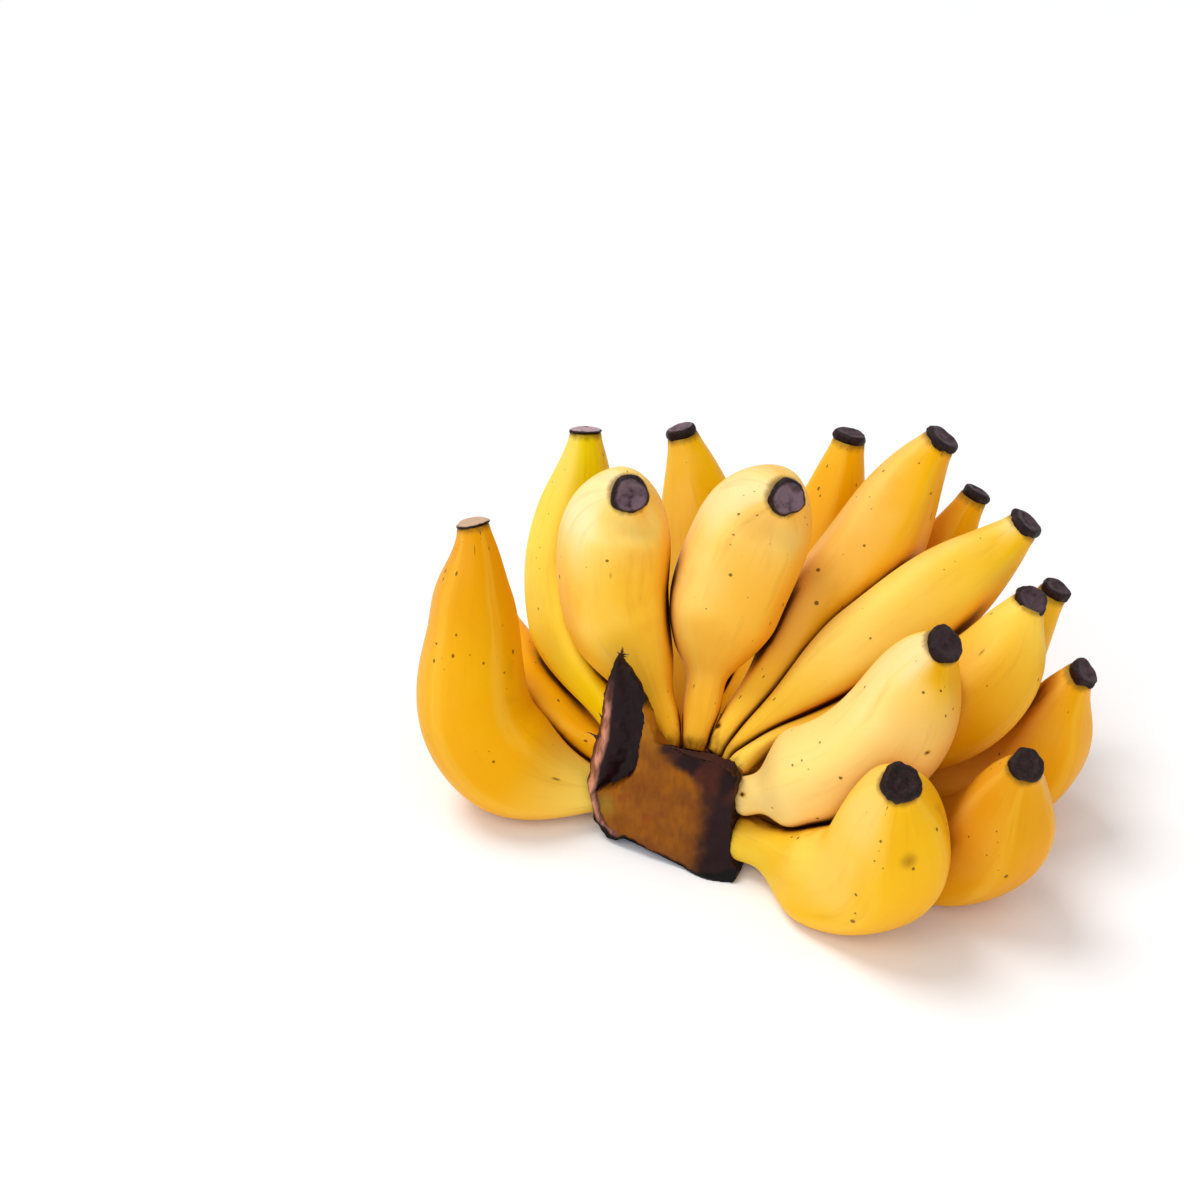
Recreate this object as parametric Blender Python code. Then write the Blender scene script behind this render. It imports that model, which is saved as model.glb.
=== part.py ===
"""A hand of short, fat bananas lying on its outer row.

Sixteen fruits in two rows fan out of a crown, the piece of stalk that the hand was cut with,
and each ends in the dried base of its flower. Lengths are in millimetres until a mesh is
made, and angles are in degrees. +Z is up, the table is z = 0, and the crown's cut face
looks towards -Y and a little towards -X.
"""

from collections import namedtuple

import bmesh
import bpy
import numpy as np

METRES = 0.001
ORIGIN = np.array([6.0, 9.0, 0.0])  # the middle of the crown's underside

# The mesh of a fruit
RINGS = 17
RIDGES = 5
SIDES = 3 * RIDGES
FINE_RINGS = 80  # where a fruit is measured against its neighbours
CURVE_STEPS = 200
SHARP_ANGLE = 50.0

# The fruit's curve, section and profile. The fall from the belly to the neck starts later and
# is blunter the plumper the fruit.
PULL = 1.1
RIDGE_POWER = 11.0
NECK_RADIUS = 6.3
FALL_START = (0.40, 0.15)
FALL_POWER = (1.7, 0.9)
HEEL_LENGTH = 0.08
HEEL_FLARE = 12.0

# How neighbours press each other: the room left between two fruits and round a stalk in the
# crown, the least and most that a point's distance from its centreline is scaled by, and how
# soft the edge of a pressed flat is
CLEARANCE = 1.0
SOCKET_CLEARANCE = 0.45
SOCKET_RINGS = 8
PRESS_RANGE = (0.12, 1.3)
PRESS_STEPS = 12
PRESS_SOFTNESS = 0.1
NEAR_RADII = 3.0

# The dried flower base: height over the fruit's end, and radius
BUTTON_OUTLINE = [(0.35, 5.6), (1.1, 6.5), (2.2, 6.3), (3.1, 5.2), (3.2, 3.6), (2.7, 1.6)]
BUTTON_SIDES = 12
FLOWER_HALF = 2.2  # a fruit ends this far short of the middle of its flower base
BUTTON_LOBES = 3
BUTTON_LOBE_DEPTH = 0.06
# How wide the flower bases and the necks under them are, against the widest, where not USUAL_SIZE
USUAL_SIZE = 0.9
FLOWER_SIZE = {
    "inner_1": 0.84, "inner_2": 0.97, "inner_3": 0.94, "inner_4": 0.95, "inner_5": 0.92, "inner_7": 0.96,
    "inner_8": 0.97, "outer_1": 0.84, "outer_3": 0.86, "outer_5": 0.78, "outer_6": 0.8, "outer_7": 0.8,
    "outer_8": 0.84,
}
NECK_START = 0.78
NECK_LENGTH = 0.2

# The crown: a squarish half ellipse in plan behind a cut face that leans back, with a horn
# over its left end and a hollow below the horn
FACE_MIDDLE = np.array([1.0, -2.5])
FACE_ANGLE = -28.0
FACE_LEAN = 0.17
FACE_BOW = 1.0
PLAN_POWER = 0.72
HORN_MIDDLE = np.array([-14.5, 11.5])
HORN_SIZE = (8.0, 4.8)
HOLLOW_DEPTH = 3.0
HOLLOW_PLACE = -19.0
HOLLOW_WIDTH = 6.0
FRONT_EDGE = -0.01  # the front half of the turn is below this
CROWN_SIDES = 36
# Height at the face, width left and right of the middle, depth, how far the top falls
# towards the back, how far the ring has drawn in to the horn, the horn's size there, and
# how deep the hollow is as a share of its full depth
CROWN_LEVELS = [
    (0.0, 26.0, 25.5, 29.0, 0.0, 0.0, 1.0, 0.0),
    (4.0, 27.0, 26.0, 30.5, 0.0, 0.0, 1.0, 0.2),
    (18.0, 29.0, 23.5, 30.5, 0.0, 0.0, 1.0, 1.0),
    (32.0, 29.5, 20.0, 27.0, 7.0, 0.0, 1.0, 1.0),
    (42.0, 28.5, 17.0, 22.0, 12.0, 0.0, 1.0, 1.0),
    (45.0, 28.0, 15.0, 17.0, 11.0, 0.45, 1.0, 1.0),
    (50.0, 28.0, 13.0, 10.0, 5.0, 0.85, 1.0, 0.8),
    (58.0, 28.0, 0.0, 0.0, 0.0, 1.0, 0.85, 0.6),
    (66.0, 28.0, 0.0, 0.0, 0.0, 1.0, 0.6, 0.4),
    (77.0, 28.0, 0.0, 0.0, 0.0, 1.0, 0.16, 0.0),
]

RISE = 0.32
Fruit = namedtuple(
    "Fruit", "root belly tip start end radius plump stalk shoulder rise", defaults=[0.15, RISE]
)

# Root and belly are points of the centreline and tip is the middle of the dried flower base.
# start and end are the directions, azimuth and pitch, in which the centreline leaves the
# crown and reaches the flower end. radius is the belly's and stalk the stalk's. plump is 0
# for a long taper and 1 or more for a blunt end. shoulder is where the body starts and rise
# how soon it is full, both as shares of the length.
FRUITS = {
    "inner_1": Fruit((-6, 19, 33), (-30, 78, 56), (-26, 95, 112), (130, 10), (95, 68), 18, 0.4, 7),
    "inner_2": Fruit((2, 20, 30), (-16, 54, 74), (-11, 50, 113), (95, 45), (-75, 20), 19.5, 1.6, 6.5, 0.18),
    "inner_3": Fruit((11, 20, 30), (24, 52, 78), (40, 44, 115.5), (72, 50), (-75, 16), 20.5, 1.6, 6.5, 0.25, 0.24),
    "inner_4": Fruit((18, 18, 30), (70, 71, 71), (98, 95, 108), (52, 36), (-10, 55), 18, 0.8, 6),
    "inner_5": Fruit((22, 14, 29), (87, 45, 71), (124, 66, 92), (42, 34), (-10, 58), 16.5, 0.8, 5.5),
    "inner_6": Fruit((23, 10, 28), (111, 24, 62), (122, 35, 81), (38, 30), (-60, 50), 19.5, 1.0, 6, 0.2),
    "inner_7": Fruit((22.5, 1, 25), (72, -4, 54), (88, 0, 89), (2, 8), (-50, 45), 19.2, 1.0, 6.5, 0.11, 0.16),
    "inner_8": Fruit((23, 0, 10.5), (65, -31, 20.5), (70, -46, 71), (-28, 4), (-80, 55), 20.5, 1.0, 8, 0.13, 0.22),
    "outer_1": Fruit((-9, 24, 11.5), (-53, 28, 19.5), (-64, 57, 97), (182, -10), (125, 68), 20.5, 0.1, 8, 0.05),
    "outer_2": Fruit((-8, 22, 22), (-42, 50, 20), (-62, 96, 42), (135, -10), (110, 50), 17, 0.5, 7),
    "outer_3": Fruit((-2, 24, 13), (15, 80, 19), (8, 120, 97), (75, 5), (145, 68), 17.5, 0.9, 7),
    "outer_4": Fruit((5, 24, 13), (43, 82, 19), (69, 118, 96), (60, 5), (40, 75), 17.5, 0.6, 7),
    "outer_5": Fruit((12, 21, 12), (74, 74, 18), (112, 95, 86), (45, 5), (20, 60), 17, 0.5, 7),
    "outer_6": Fruit((16, 18, 16), (105, 54, 18), (136, 60, 69), (28, 10), (-5, 65), 17, 0.5, 7),
    "outer_7": Fruit((18, 15, 9), (129, 25, 24), (139, 20, 63), (8, 10), (-30, 50), 19, 0.8, 6),
    "outer_8": Fruit((21, 9.5, 9), (103, -17, 18.5), (110, -35, 69), (-4, 4), (-75, 60), 18.5, 1.0, 5, 0.18),
}

# Colour, roughness
MATERIALS = {
    "peel": ((0.86, 0.55, 0.07), 0.42),
    "flower_end": ((0.06, 0.03, 0.045), 0.65),
    "crown": ((0.22, 0.09, 0.04), 0.6),
}


def direction(azimuth, pitch):
    azimuth, pitch = np.radians(azimuth), np.radians(pitch)
    return np.array([np.cos(azimuth) * np.cos(pitch), np.sin(azimuth) * np.cos(pitch), np.sin(pitch)])


def smooth_step(t):
    t = np.clip(t, 0.0, 1.0)
    return t * t * (3.0 - 2.0 * t)


def smooth_lower(a, b, softness):
    """The lower of a and b, with the corner between them rounded."""
    near = np.maximum(softness - np.abs(a - b), 0.0) / softness
    return np.minimum(a, b) - near * near * softness / 4.0


def hermite(start, end, leaving, arriving):
    t = np.linspace(0.0, 1.0, CURVE_STEPS)[:, None]
    return (
        (2 * t**3 - 3 * t**2 + 1) * start
        + (t**3 - 2 * t**2 + t) * leaving
        + (3 * t**2 - 2 * t**3) * end
        + (t**3 - t**2) * arriving
    )


def centreline(fruit, count):
    """Evenly spaced points from the crown through the belly to the flower end."""
    root, belly, tip = (np.array(point, float) for point in fruit[:3])
    tip = tip - direction(*fruit.end) * FLOWER_HALF
    low, high = np.linalg.norm(belly - root), np.linalg.norm(tip - belly)
    middle = (belly - root) / low * high + (tip - belly) / high * low
    middle /= np.linalg.norm(middle)
    lower = hermite(root, belly, direction(*fruit.start) * low * PULL, middle * low * PULL)
    upper = hermite(belly, tip, middle * high * PULL, direction(*fruit.end) * high * PULL)
    fine = np.concatenate([lower, upper[1:]])
    travelled = np.concatenate([[0.0], np.cumsum(np.linalg.norm(np.diff(fine, axis=0), axis=1))])
    wanted = np.linspace(0.0, travelled[-1], count)
    return np.stack([np.interp(wanted, travelled, fine[:, axis]) for axis in range(3)], axis=1)


def radii(fruit, count):
    """Stalk, shoulder, belly and neck along the centreline."""
    along = np.linspace(0.0, 1.0, count)
    fall_start = FALL_START[0] + FALL_START[1] * fruit.plump
    fall_power = FALL_POWER[0] + FALL_POWER[1] * fruit.plump
    fall = np.clip((along - fall_start) / (1.0 - fall_start), 0.0, 1.0)
    body = NECK_RADIUS + (fruit.radius - NECK_RADIUS) * (1.0 - fall**fall_power)
    rise = smooth_step((along - fruit.shoulder) / fruit.rise)
    heel = np.clip(HEEL_LENGTH - along, 0.0, None) * HEEL_FLARE
    return fruit.stalk + (body - fruit.stalk) * rise + heel


def frames(points):
    """Two directions across the centreline at each point, carried along it without twist."""
    along = np.gradient(points, axis=0)
    along /= np.linalg.norm(along, axis=1)[:, None]
    side = np.cross(along[0], along[-1])
    side -= along[0] * (side @ along[0])
    side /= np.linalg.norm(side)
    across, upward = [], []
    for tangent in along:
        side = side - tangent * (side @ tangent)
        side /= np.linalg.norm(side)
        across.append(side)
        upward.append(np.cross(tangent, side))
    return np.array(across), np.array(upward)


def ridged(angles):
    """Distance from the centre of a rounded polygon with RIDGES corners, about 1 on average."""
    flats = np.arange(RIDGES) * 2.0 * np.pi / RIDGES + np.pi / RIDGES
    facing = np.clip(np.cos(angles[:, None] - flats), 0.0, None)
    outline = np.sum(facing**RIDGE_POWER, axis=1) ** (-1.0 / RIDGE_POWER)
    return outline / outline.mean()


def tube(name, rings, sides):
    """A fruit's centreline and, for each of its points, the ring of surface points round it."""
    fruit = FRUITS[name]
    line = centreline(fruit, rings)
    across, upward = frames(line)
    angles = np.arange(sides) * 2.0 * np.pi / sides
    narrower = 1.0 - FLOWER_SIZE.get(name, USUAL_SIZE)
    neck = 1.0 - narrower * smooth_step((np.linspace(0.0, 1.0, rings) - NECK_START) / NECK_LENGTH)
    spread = (radii(fruit, rings) * neck)[:, None] * ridged(angles)
    turn = np.cos(angles)[:, None] * across[:, None] + np.sin(angles)[:, None] * upward[:, None]
    return line, line[:, None] + spread[:, :, None] * turn


def depth(points, line, line_radii):
    """How far each point is outside a round tube; negative inside."""
    away = np.linalg.norm(points[:, None] - line[None], axis=2) - line_radii
    return away.min(axis=1)


def pressed(name, line, surface, fields):
    """The surface drawn in where the fruit meets its neighbours, and flat where it meets the table."""
    centres = np.repeat(line, surface.shape[1], axis=0)
    reach = surface.reshape(-1, 3) - centres
    own = fields[name]
    near = []
    for other, (points, spread) in fields.items():
        apart = np.linalg.norm(points[:, None] - own[0][None], axis=2).min()
        if other != name and apart < NEAR_RADII * own[1].max():
            near.append((points, spread))
    low = np.full(len(centres), PRESS_RANGE[0])
    high = np.full(len(centres), PRESS_RANGE[1])
    for _ in range(PRESS_STEPS):
        share = (low + high) / 2.0
        points = centres + reach * share[:, None]
        room = np.min([depth(points, *field) for field in near], axis=0) - depth(points, *own)
        fits = room >= CLEARANCE
        low = np.where(fits, share, low)
        high = np.where(fits, high, share)
    share = smooth_lower(low, 1.0, PRESS_SOFTNESS)
    # A point that would pass through the table stops on it
    falling = reach[:, 2] < 0.0
    share[falling] = np.minimum(share, centres[:, 2] / np.where(falling, -reach[:, 2], 1.0))[falling]
    return (centres + reach * share[:, None]).reshape(surface.shape)


def add_rings(shape, rings):
    """Skins a list of rings and closes both ends with a fan."""
    sides = len(rings[0])
    loops = [[shape.verts.new((np.asarray(point) - ORIGIN) * METRES) for point in ring] for ring in rings]
    for lower, upper in zip(loops, loops[1:]):
        for i in range(sides):
            j = (i + 1) % sides
            shape.faces.new((lower[i], lower[j], upper[j]))
            shape.faces.new((lower[i], upper[j], upper[i]))
    for loop, ring, order in ((loops[0], rings[0], -1), (loops[-1], rings[-1], 1)):
        middle = shape.verts.new((np.mean(ring, axis=0) - ORIGIN) * METRES)
        for i in range(sides):
            pair = (loop[i], loop[(i + 1) % sides])[::order]
            shape.faces.new((*pair, middle))


def mesh_object(name, rings, material=None):
    shape = bmesh.new()
    add_rings(shape, rings)
    bmesh.ops.recalc_face_normals(shape, faces=shape.faces)
    mesh = bpy.data.meshes.new(name)
    shape.to_mesh(mesh)
    shape.free()
    made = bpy.data.objects.new(name, mesh)
    bpy.context.collection.objects.link(made)
    if material:
        mesh.materials.append(material)
        mesh.shade_smooth()
        mesh.set_sharp_from_angle(angle=np.radians(SHARP_ANGLE))
    return made


def principled(name):
    colour, roughness = MATERIALS[name]
    material = bpy.data.materials.new(name)
    material.use_nodes = True
    shader = material.node_tree.nodes["Principled BSDF"]
    shader.inputs["Base Color"].default_value = (*colour, 1.0)
    shader.inputs["Roughness"].default_value = roughness
    shader.inputs["Metallic"].default_value = 0.0
    return material


def fruit_surfaces():
    """Every fruit's final rings, with room left between neighbours."""
    fields = {}
    for name, fruit in FRUITS.items():
        fields[name] = (centreline(fruit, FINE_RINGS), radii(fruit, FINE_RINGS))
    surfaces = {}
    for name in FRUITS:
        line, surface = tube(name, RINGS, SIDES)
        surfaces[name] = (line, pressed(name, line, surface, fields))
    return surfaces


def button_rings(name):
    """The dried flower base on the end of a fruit, slightly three-sided."""
    line = centreline(FRUITS[name], RINGS)
    across, upward = (frame[-1] for frame in frames(line))
    along = np.cross(across, upward)
    angles = np.arange(BUTTON_SIDES) * 2.0 * np.pi / BUTTON_SIDES
    lobes = (1.0 + BUTTON_LOBE_DEPTH * np.cos(BUTTON_LOBES * angles)) * FLOWER_SIZE.get(name, USUAL_SIZE)
    turn = np.cos(angles)[:, None] * across + np.sin(angles)[:, None] * upward
    return [line[-1] + along * height + turn * (radius * lobes)[:, None] for height, radius in BUTTON_OUTLINE]


def crown_rings():
    """Half an ellipse in plan, level by level, drawn in at the top to the horn."""
    angle = np.radians(FACE_ANGLE)
    right = np.array([np.cos(angle), np.sin(angle)])
    back = np.array([-right[1], right[0]])
    turn = np.arange(CROWN_SIDES) * 2.0 * np.pi / CROWN_SIDES
    round_turn = np.column_stack([np.cos(turn), np.sin(turn)])
    square_turn = np.sign(round_turn) * np.abs(round_turn) ** PLAN_POWER
    # The front half of the turn runs nearly straight along the cut face
    behind = np.clip(square_turn[:, 1], 0.0, None)
    before = np.clip(square_turn[:, 1], None, 0.0)
    rings = []
    for height, left_width, right_width, depth_back, fall, drawn, horn_size, hollow in CROWN_LEVELS:
        across = np.where(square_turn[:, 0] < 0.0, left_width, right_width) * square_turn[:, 0]
        inward = depth_back * behind + FACE_BOW * before + FACE_LEAN * height
        block = FACE_MIDDLE + across[:, None] * right + inward[:, None] * back
        horn_turn = round_turn * HORN_SIZE * horn_size
        horn = HORN_MIDDLE + horn_turn[:, :1] * right + horn_turn[:, 1:] * back
        plan = block * (1.0 - drawn) + horn * drawn
        place = (plan - FACE_MIDDLE) @ right
        dent = hollow * HOLLOW_DEPTH * np.exp(-(((place - HOLLOW_PLACE) / HOLLOW_WIDTH) ** 2))
        plan = plan + (dent * (before < FRONT_EDGE))[:, None] * back
        rings.append(np.column_stack([plan, height - fall * behind]))
    return rings


def socket_cutter(name, line, surface):
    """The fruit's own stalk, a little thicker and longer."""
    first = line[1] - line[0]
    start = line[0] - first / np.linalg.norm(first) * SOCKET_CLEARANCE
    rings = []
    for k in range(SOCKET_RINGS):
        centre = start if k == 0 else line[k]
        reach = surface[k] - line[k]
        size = np.linalg.norm(reach, axis=1)[:, None]
        rings.append(centre + reach * (1.0 + SOCKET_CLEARANCE / size))
    cutter = mesh_object(f"socket_{name}", rings)
    cutter.hide_render = True
    cutter.display_type = "WIRE"
    return cutter


def largest_body(mesh):
    """Leaves only the biggest connected piece of a mesh."""
    shape = bmesh.new()
    shape.from_mesh(mesh)
    left = set(shape.verts)
    pieces = []
    while left:
        stack = [left.pop()]
        piece = set(stack)
        while stack:
            for edge in stack.pop().link_edges:
                for vert in edge.verts:
                    if vert in left:
                        left.remove(vert)
                        piece.add(vert)
                        stack.append(vert)
        pieces.append(piece)
    pieces.sort(key=len)
    scraps = [vert for piece in pieces[:-1] for vert in piece]
    bmesh.ops.delete(shape, geom=scraps, context="VERTS")
    shape.to_mesh(mesh)
    shape.free()


def make_crown(surfaces, material):
    crown = mesh_object("crown", crown_rings(), material)
    for name, (line, surface) in surfaces.items():
        cutter = socket_cutter(name, line, surface)
        cut = crown.modifiers.new(cutter.name, "BOOLEAN")
        cut.operation = "DIFFERENCE"
        cut.object = cutter
    graph = bpy.context.evaluated_depsgraph_get()
    done = bpy.data.meshes.new_from_object(crown.evaluated_get(graph))
    crown.modifiers.clear()
    crown.data = done
    largest_body(done)
    for cutter in [made for made in bpy.data.objects if made.name.startswith("socket_")]:
        bpy.data.objects.remove(cutter)


def main():
    for old in list(bpy.data.objects):
        bpy.data.objects.remove(old)
    materials = {name: principled(name) for name in MATERIALS}
    surfaces = fruit_surfaces()
    for name, (_, surface) in surfaces.items():
        mesh_object(f"banana_{name}", list(surface), materials["peel"])
        mesh_object(f"flower_end_{name}", button_rings(name), materials["flower_end"])
    make_crown(surfaces, materials["crown"])


main()
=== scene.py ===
"""A hand of short, fat bananas lying on a white table: the finished skins, flower ends and crown.

Lengths are in millimetres until a mesh is made, angles are in degrees. The fruits follow the
same curves as the solids they stand for, with a finer mesh.
"""

from collections import namedtuple

import bpy
import numpy as np
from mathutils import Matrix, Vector
from mathutils.bvhtree import BVHTree


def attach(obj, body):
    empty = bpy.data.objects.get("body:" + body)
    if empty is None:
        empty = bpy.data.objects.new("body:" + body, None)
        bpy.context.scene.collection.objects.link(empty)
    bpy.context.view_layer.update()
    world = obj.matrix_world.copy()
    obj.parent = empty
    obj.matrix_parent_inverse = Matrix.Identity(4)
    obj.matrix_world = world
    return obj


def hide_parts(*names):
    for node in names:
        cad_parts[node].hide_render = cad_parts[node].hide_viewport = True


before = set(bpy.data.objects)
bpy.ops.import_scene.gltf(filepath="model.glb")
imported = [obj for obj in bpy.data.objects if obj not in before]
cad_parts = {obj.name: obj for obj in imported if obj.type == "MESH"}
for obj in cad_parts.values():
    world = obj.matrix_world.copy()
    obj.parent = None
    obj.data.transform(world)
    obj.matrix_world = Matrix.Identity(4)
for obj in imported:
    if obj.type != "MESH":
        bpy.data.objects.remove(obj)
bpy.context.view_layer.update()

METRES = 0.001
ORIGIN = np.array([6.0, 9.0, 0.0])

# The camera stands where the photographer did
CAMERA_TARGET = Vector((-0.027, 0.031, 0.078))
CAMERA_DISTANCE = 0.7
CAMERA_ELEVATION = 35.0
CAMERA_LENS = 63.0
SENSOR = 36.0

# A broad white key light from the upper left, in a white surround
WORLD_STRENGTH = 0.58
KEY_STRENGTH = 1.55
KEY_ANGLE = 28.0
KEY_FROM = (-0.40, 0.24, 0.88)

# The mesh of a fruit, and the coarser one on which it is pressed by its neighbours
RINGS = 110
SIDES = 80
PRESS_RINGS = 56
PRESS_SIDES = 40
FIELD_RINGS = 40
CURVE_STEPS = 200

# The fruit's curve, section and profile, as in the solids
PULL = 1.1
RIDGES = 5
RIDGE_POWER = 11.0
NECK_RADIUS = 6.3
FALL_START = (0.40, 0.15)
FALL_POWER = (1.7, 0.9)
HEEL_LENGTH = 0.08
HEEL_FLARE = 12.0
FLOWER_HALF = 2.2
CLEARANCE = 0.25
# The direction of the light that is painted onto the skins: painted highlight on the side facing it, painted shade
# on the other
PAINTED_LIGHT_FROM = (-0.6, -0.3, 0.75)
LINE_ROUNDS = 60
SKIN_ROUNDS = 22
HELD_RINGS = 8
# The root is hidden in the crown, and is drawn in there to stay clear of its face
ROOT_TAPER = 0.5
ROOT_SHARE = 0.035
PRESS_RANGE = (0.12, 1.3)
PRESS_STEPS = 11
PRESS_SOFTNESS = 0.1
NEAR_RADII = 2.4

# How the fruits' closeness and shade are measured, in millimetres and rays
GAP_REACH = 6.0
SHADE_STEP = 2
SHADE_RAYS = 14
SHADE_LIFT = 0.3
SHADE_REACH = 24.0
GOLDEN_TURN = 2.39996

RISE = 0.32
Fruit = namedtuple(
    "Fruit", "root belly tip start end radius plump stalk shoulder rise", defaults=[0.15, RISE]
)

# Root and belly are points of the centreline and tip is the middle of the dried flower base.
# start and end are the directions, azimuth and pitch, in which the centreline leaves the
# crown and reaches the flower end. radius is the belly's and stalk the stalk's. plump is 0
# for a long taper and 1 or more for a blunt end. shoulder is where the body starts and rise
# how soon it is full, both as shares of the length.
FRUITS = {
    "inner_1": Fruit((-6, 19, 33), (-30, 78, 56), (-26, 95, 112), (130, 10), (95, 68), 18, 0.4, 7),
    "inner_2": Fruit((2, 20, 30), (-16, 54, 74), (-11, 50, 113), (95, 45), (-75, 20), 19.5, 1.6, 6.5, 0.18),
    "inner_3": Fruit((11, 20, 30), (24, 52, 78), (40, 44, 115.5), (72, 50), (-75, 16), 20.5, 1.6, 6.5, 0.25, 0.24),
    "inner_4": Fruit((18, 18, 30), (70, 71, 71), (98, 95, 108), (52, 36), (-10, 55), 18, 0.8, 6),
    "inner_5": Fruit((22, 14, 29), (87, 45, 71), (124, 66, 92), (42, 34), (-10, 58), 16.5, 0.8, 5.5),
    "inner_6": Fruit((23, 10, 28), (111, 24, 62), (122, 35, 81), (38, 30), (-60, 50), 19.5, 1.0, 6, 0.2),
    "inner_7": Fruit((22.5, 1, 25), (72, -4, 54), (88, 0, 89), (2, 8), (-50, 45), 19.2, 1.0, 6.5, 0.11, 0.16),
    "inner_8": Fruit((23, 0, 10.5), (65, -31, 20.5), (70, -46, 71), (-28, 4), (-80, 55), 20.5, 1.0, 8, 0.13, 0.22),
    "outer_1": Fruit((-9, 24, 11.5), (-53, 28, 19.5), (-64, 57, 97), (182, -10), (125, 68), 20.5, 0.1, 8, 0.05),
    "outer_2": Fruit((-8, 22, 22), (-42, 50, 20), (-62, 96, 42), (135, -10), (110, 50), 17, 0.5, 7),
    "outer_3": Fruit((-2, 24, 13), (15, 80, 19), (8, 120, 97), (75, 5), (145, 68), 17.5, 0.9, 7),
    "outer_4": Fruit((5, 24, 13), (43, 82, 19), (69, 118, 96), (60, 5), (40, 75), 17.5, 0.6, 7),
    "outer_5": Fruit((12, 21, 12), (74, 74, 18), (112, 95, 86), (45, 5), (20, 60), 17, 0.5, 7),
    "outer_6": Fruit((16, 18, 16), (105, 54, 18), (136, 60, 69), (28, 10), (-5, 65), 17, 0.5, 7),
    "outer_7": Fruit((18, 15, 9), (129, 25, 24), (139, 20, 63), (8, 10), (-30, 50), 19, 0.8, 6),
    "outer_8": Fruit((21, 9.5, 9), (103, -17, 18.5), (110, -35, 69), (-4, 4), (-75, 60), 18.5, 1.0, 5, 0.18),
}

# How sharp a fruit's ridges are
RIDGED = {
    "inner_2": 0.35, "inner_3": 0.35, "inner_7": 0.45, "inner_8": 0.7, "outer_1": 0.2, "inner_4": 0.7,
    "inner_5": 0.7,
}

# How a fruit's skin is coloured: at its stalk, its belly and its tip (sRGB), how strong its pale painted highlight
# is, how much orange is mottled in, which also deepens its painted shade, and how many specks and bruises it has
Skin = namedtuple("Skin", "stalk belly tip cream orange specks bruises")
GOLD = (0.98, 0.73, 0.03)
AMBER = (0.94, 0.63, 0.0)
SKINS = {
    "inner_1": Skin((0.96, 0.79, 0.02), (0.99, 0.87, 0.06), (0.91, 0.81, 0.0), 0.25, 0.0, 0.2, 0.1),
    "inner_2": Skin((0.97, 0.72, 0.14), (1.0, 0.78, 0.22), (0.99, 0.84, 0.44), 0.6, 0.75, 0.5, 0.2),
    "inner_3": Skin((0.99, 0.74, 0.20), (0.99, 0.76, 0.28), (0.98, 0.80, 0.42), 0.5, 0.5, 0.6, 0.2),
    "inner_4": Skin((1.0, 0.79, 0.24), (0.93, 0.67, 0.12), (0.96, 0.71, 0.0), 0.3, 0.35, 0.7, 0.4),
    "inner_5": Skin((0.97, 0.77, 0.22), (0.98, 0.79, 0.26), (0.98, 0.75, 0.06), 0.4, 0.3, 0.5, 0.2),
    "inner_6": Skin((0.98, 0.82, 0.32), (0.91, 0.65, 0.0), (1.0, 0.81, 0.28), 0.15, 0.3, 0.6, 0.3),
    "inner_7": Skin((0.95, 0.82, 0.50), (0.98, 0.82, 0.48), (0.93, 0.69, 0.03), 0.6, 0.15, 0.8, 0.3),
    "inner_8": Skin((0.93, 0.77, 0.22), (0.96, 0.74, 0.10), (0.96, 0.73, 0.08), 0.3, 0.3, 0.6, 0.5),
    "outer_1": Skin((0.99, 0.85, 0.38), (0.93, 0.67, 0.02), (0.89, 0.60, 0.0), 0.05, 0.35, 0.9, 0.3),
    "outer_2": Skin((0.94, 0.66, 0.05), GOLD, AMBER, 0.1, 0.4, 0.6, 0.3),
    "outer_3": Skin(AMBER, (1.0, 0.80, 0.14), (0.98, 0.77, 0.0), 0.2, 0.2, 0.6, 0.2),
    "outer_4": Skin(AMBER, GOLD, (0.98, 0.75, 0.02), 0.1, 0.4, 0.7, 0.3),
    "outer_5": Skin(AMBER, AMBER, (0.98, 0.71, 0.0), 0.1, 0.4, 0.5, 0.3),
    "outer_6": Skin(AMBER, GOLD, (0.97, 0.77, 0.16), 0.15, 0.4, 0.6, 0.3),
    "outer_7": Skin(AMBER, (0.93, 0.64, 0.0), (0.95, 0.69, 0.04), 0.15, 0.5, 0.7, 0.4),
    "outer_8": Skin((0.88, 0.61, 0.0), (0.90, 0.63, 0.0), (0.89, 0.62, 0.0), 0.15, 0.4, 0.7, 0.5),
}
# Where a fruit is fuller than its solid, and leans over: the place and reach as shares of the
# length, how much wider, and how far to the left
FULLER = {"outer_1": (0.83, 0.075, 1.0, 1.3), "outer_2": (0.22, 0.12, 1.3, 0.0)}
# Single marks on the skin: the share of the length, the angle around, the size and how dark
MARKS = {
    "inner_8": [(0.80, 31, 5.0, 0.42)],
    "inner_7": [(0.045, 292, 1.6, 0.8), (0.68, 355, 1.7, 0.7)],
    "inner_4": [(0.055, 211, 2.2, 1.0)],
}
# How much higher than in its solid a fruit's tip is
RAISED = {"outer_1": 2.4, "inner_1": 1.0}
# How suddenly a fruit widens where its stalk ends: 0 is as gently as its solid, 1 is abruptly
BLUNT = {"inner_2": 0.6, "inner_3": 0.85, "inner_7": 0.85, "inner_8": 0.35}


def direction(azimuth, pitch):
    azimuth, pitch = np.radians(azimuth), np.radians(pitch)
    return np.array([np.cos(azimuth) * np.cos(pitch), np.sin(azimuth) * np.cos(pitch), np.sin(pitch)])


def smooth_step(t):
    t = np.clip(t, 0.0, 1.0)
    return t * t * (3.0 - 2.0 * t)


def smooth_lower(a, b, softness):
    """The lower of a and b, with the corner between them rounded."""
    near = np.maximum(softness - np.abs(a - b), 0.0) / softness
    return np.minimum(a, b) - near * near * softness / 4.0


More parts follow.
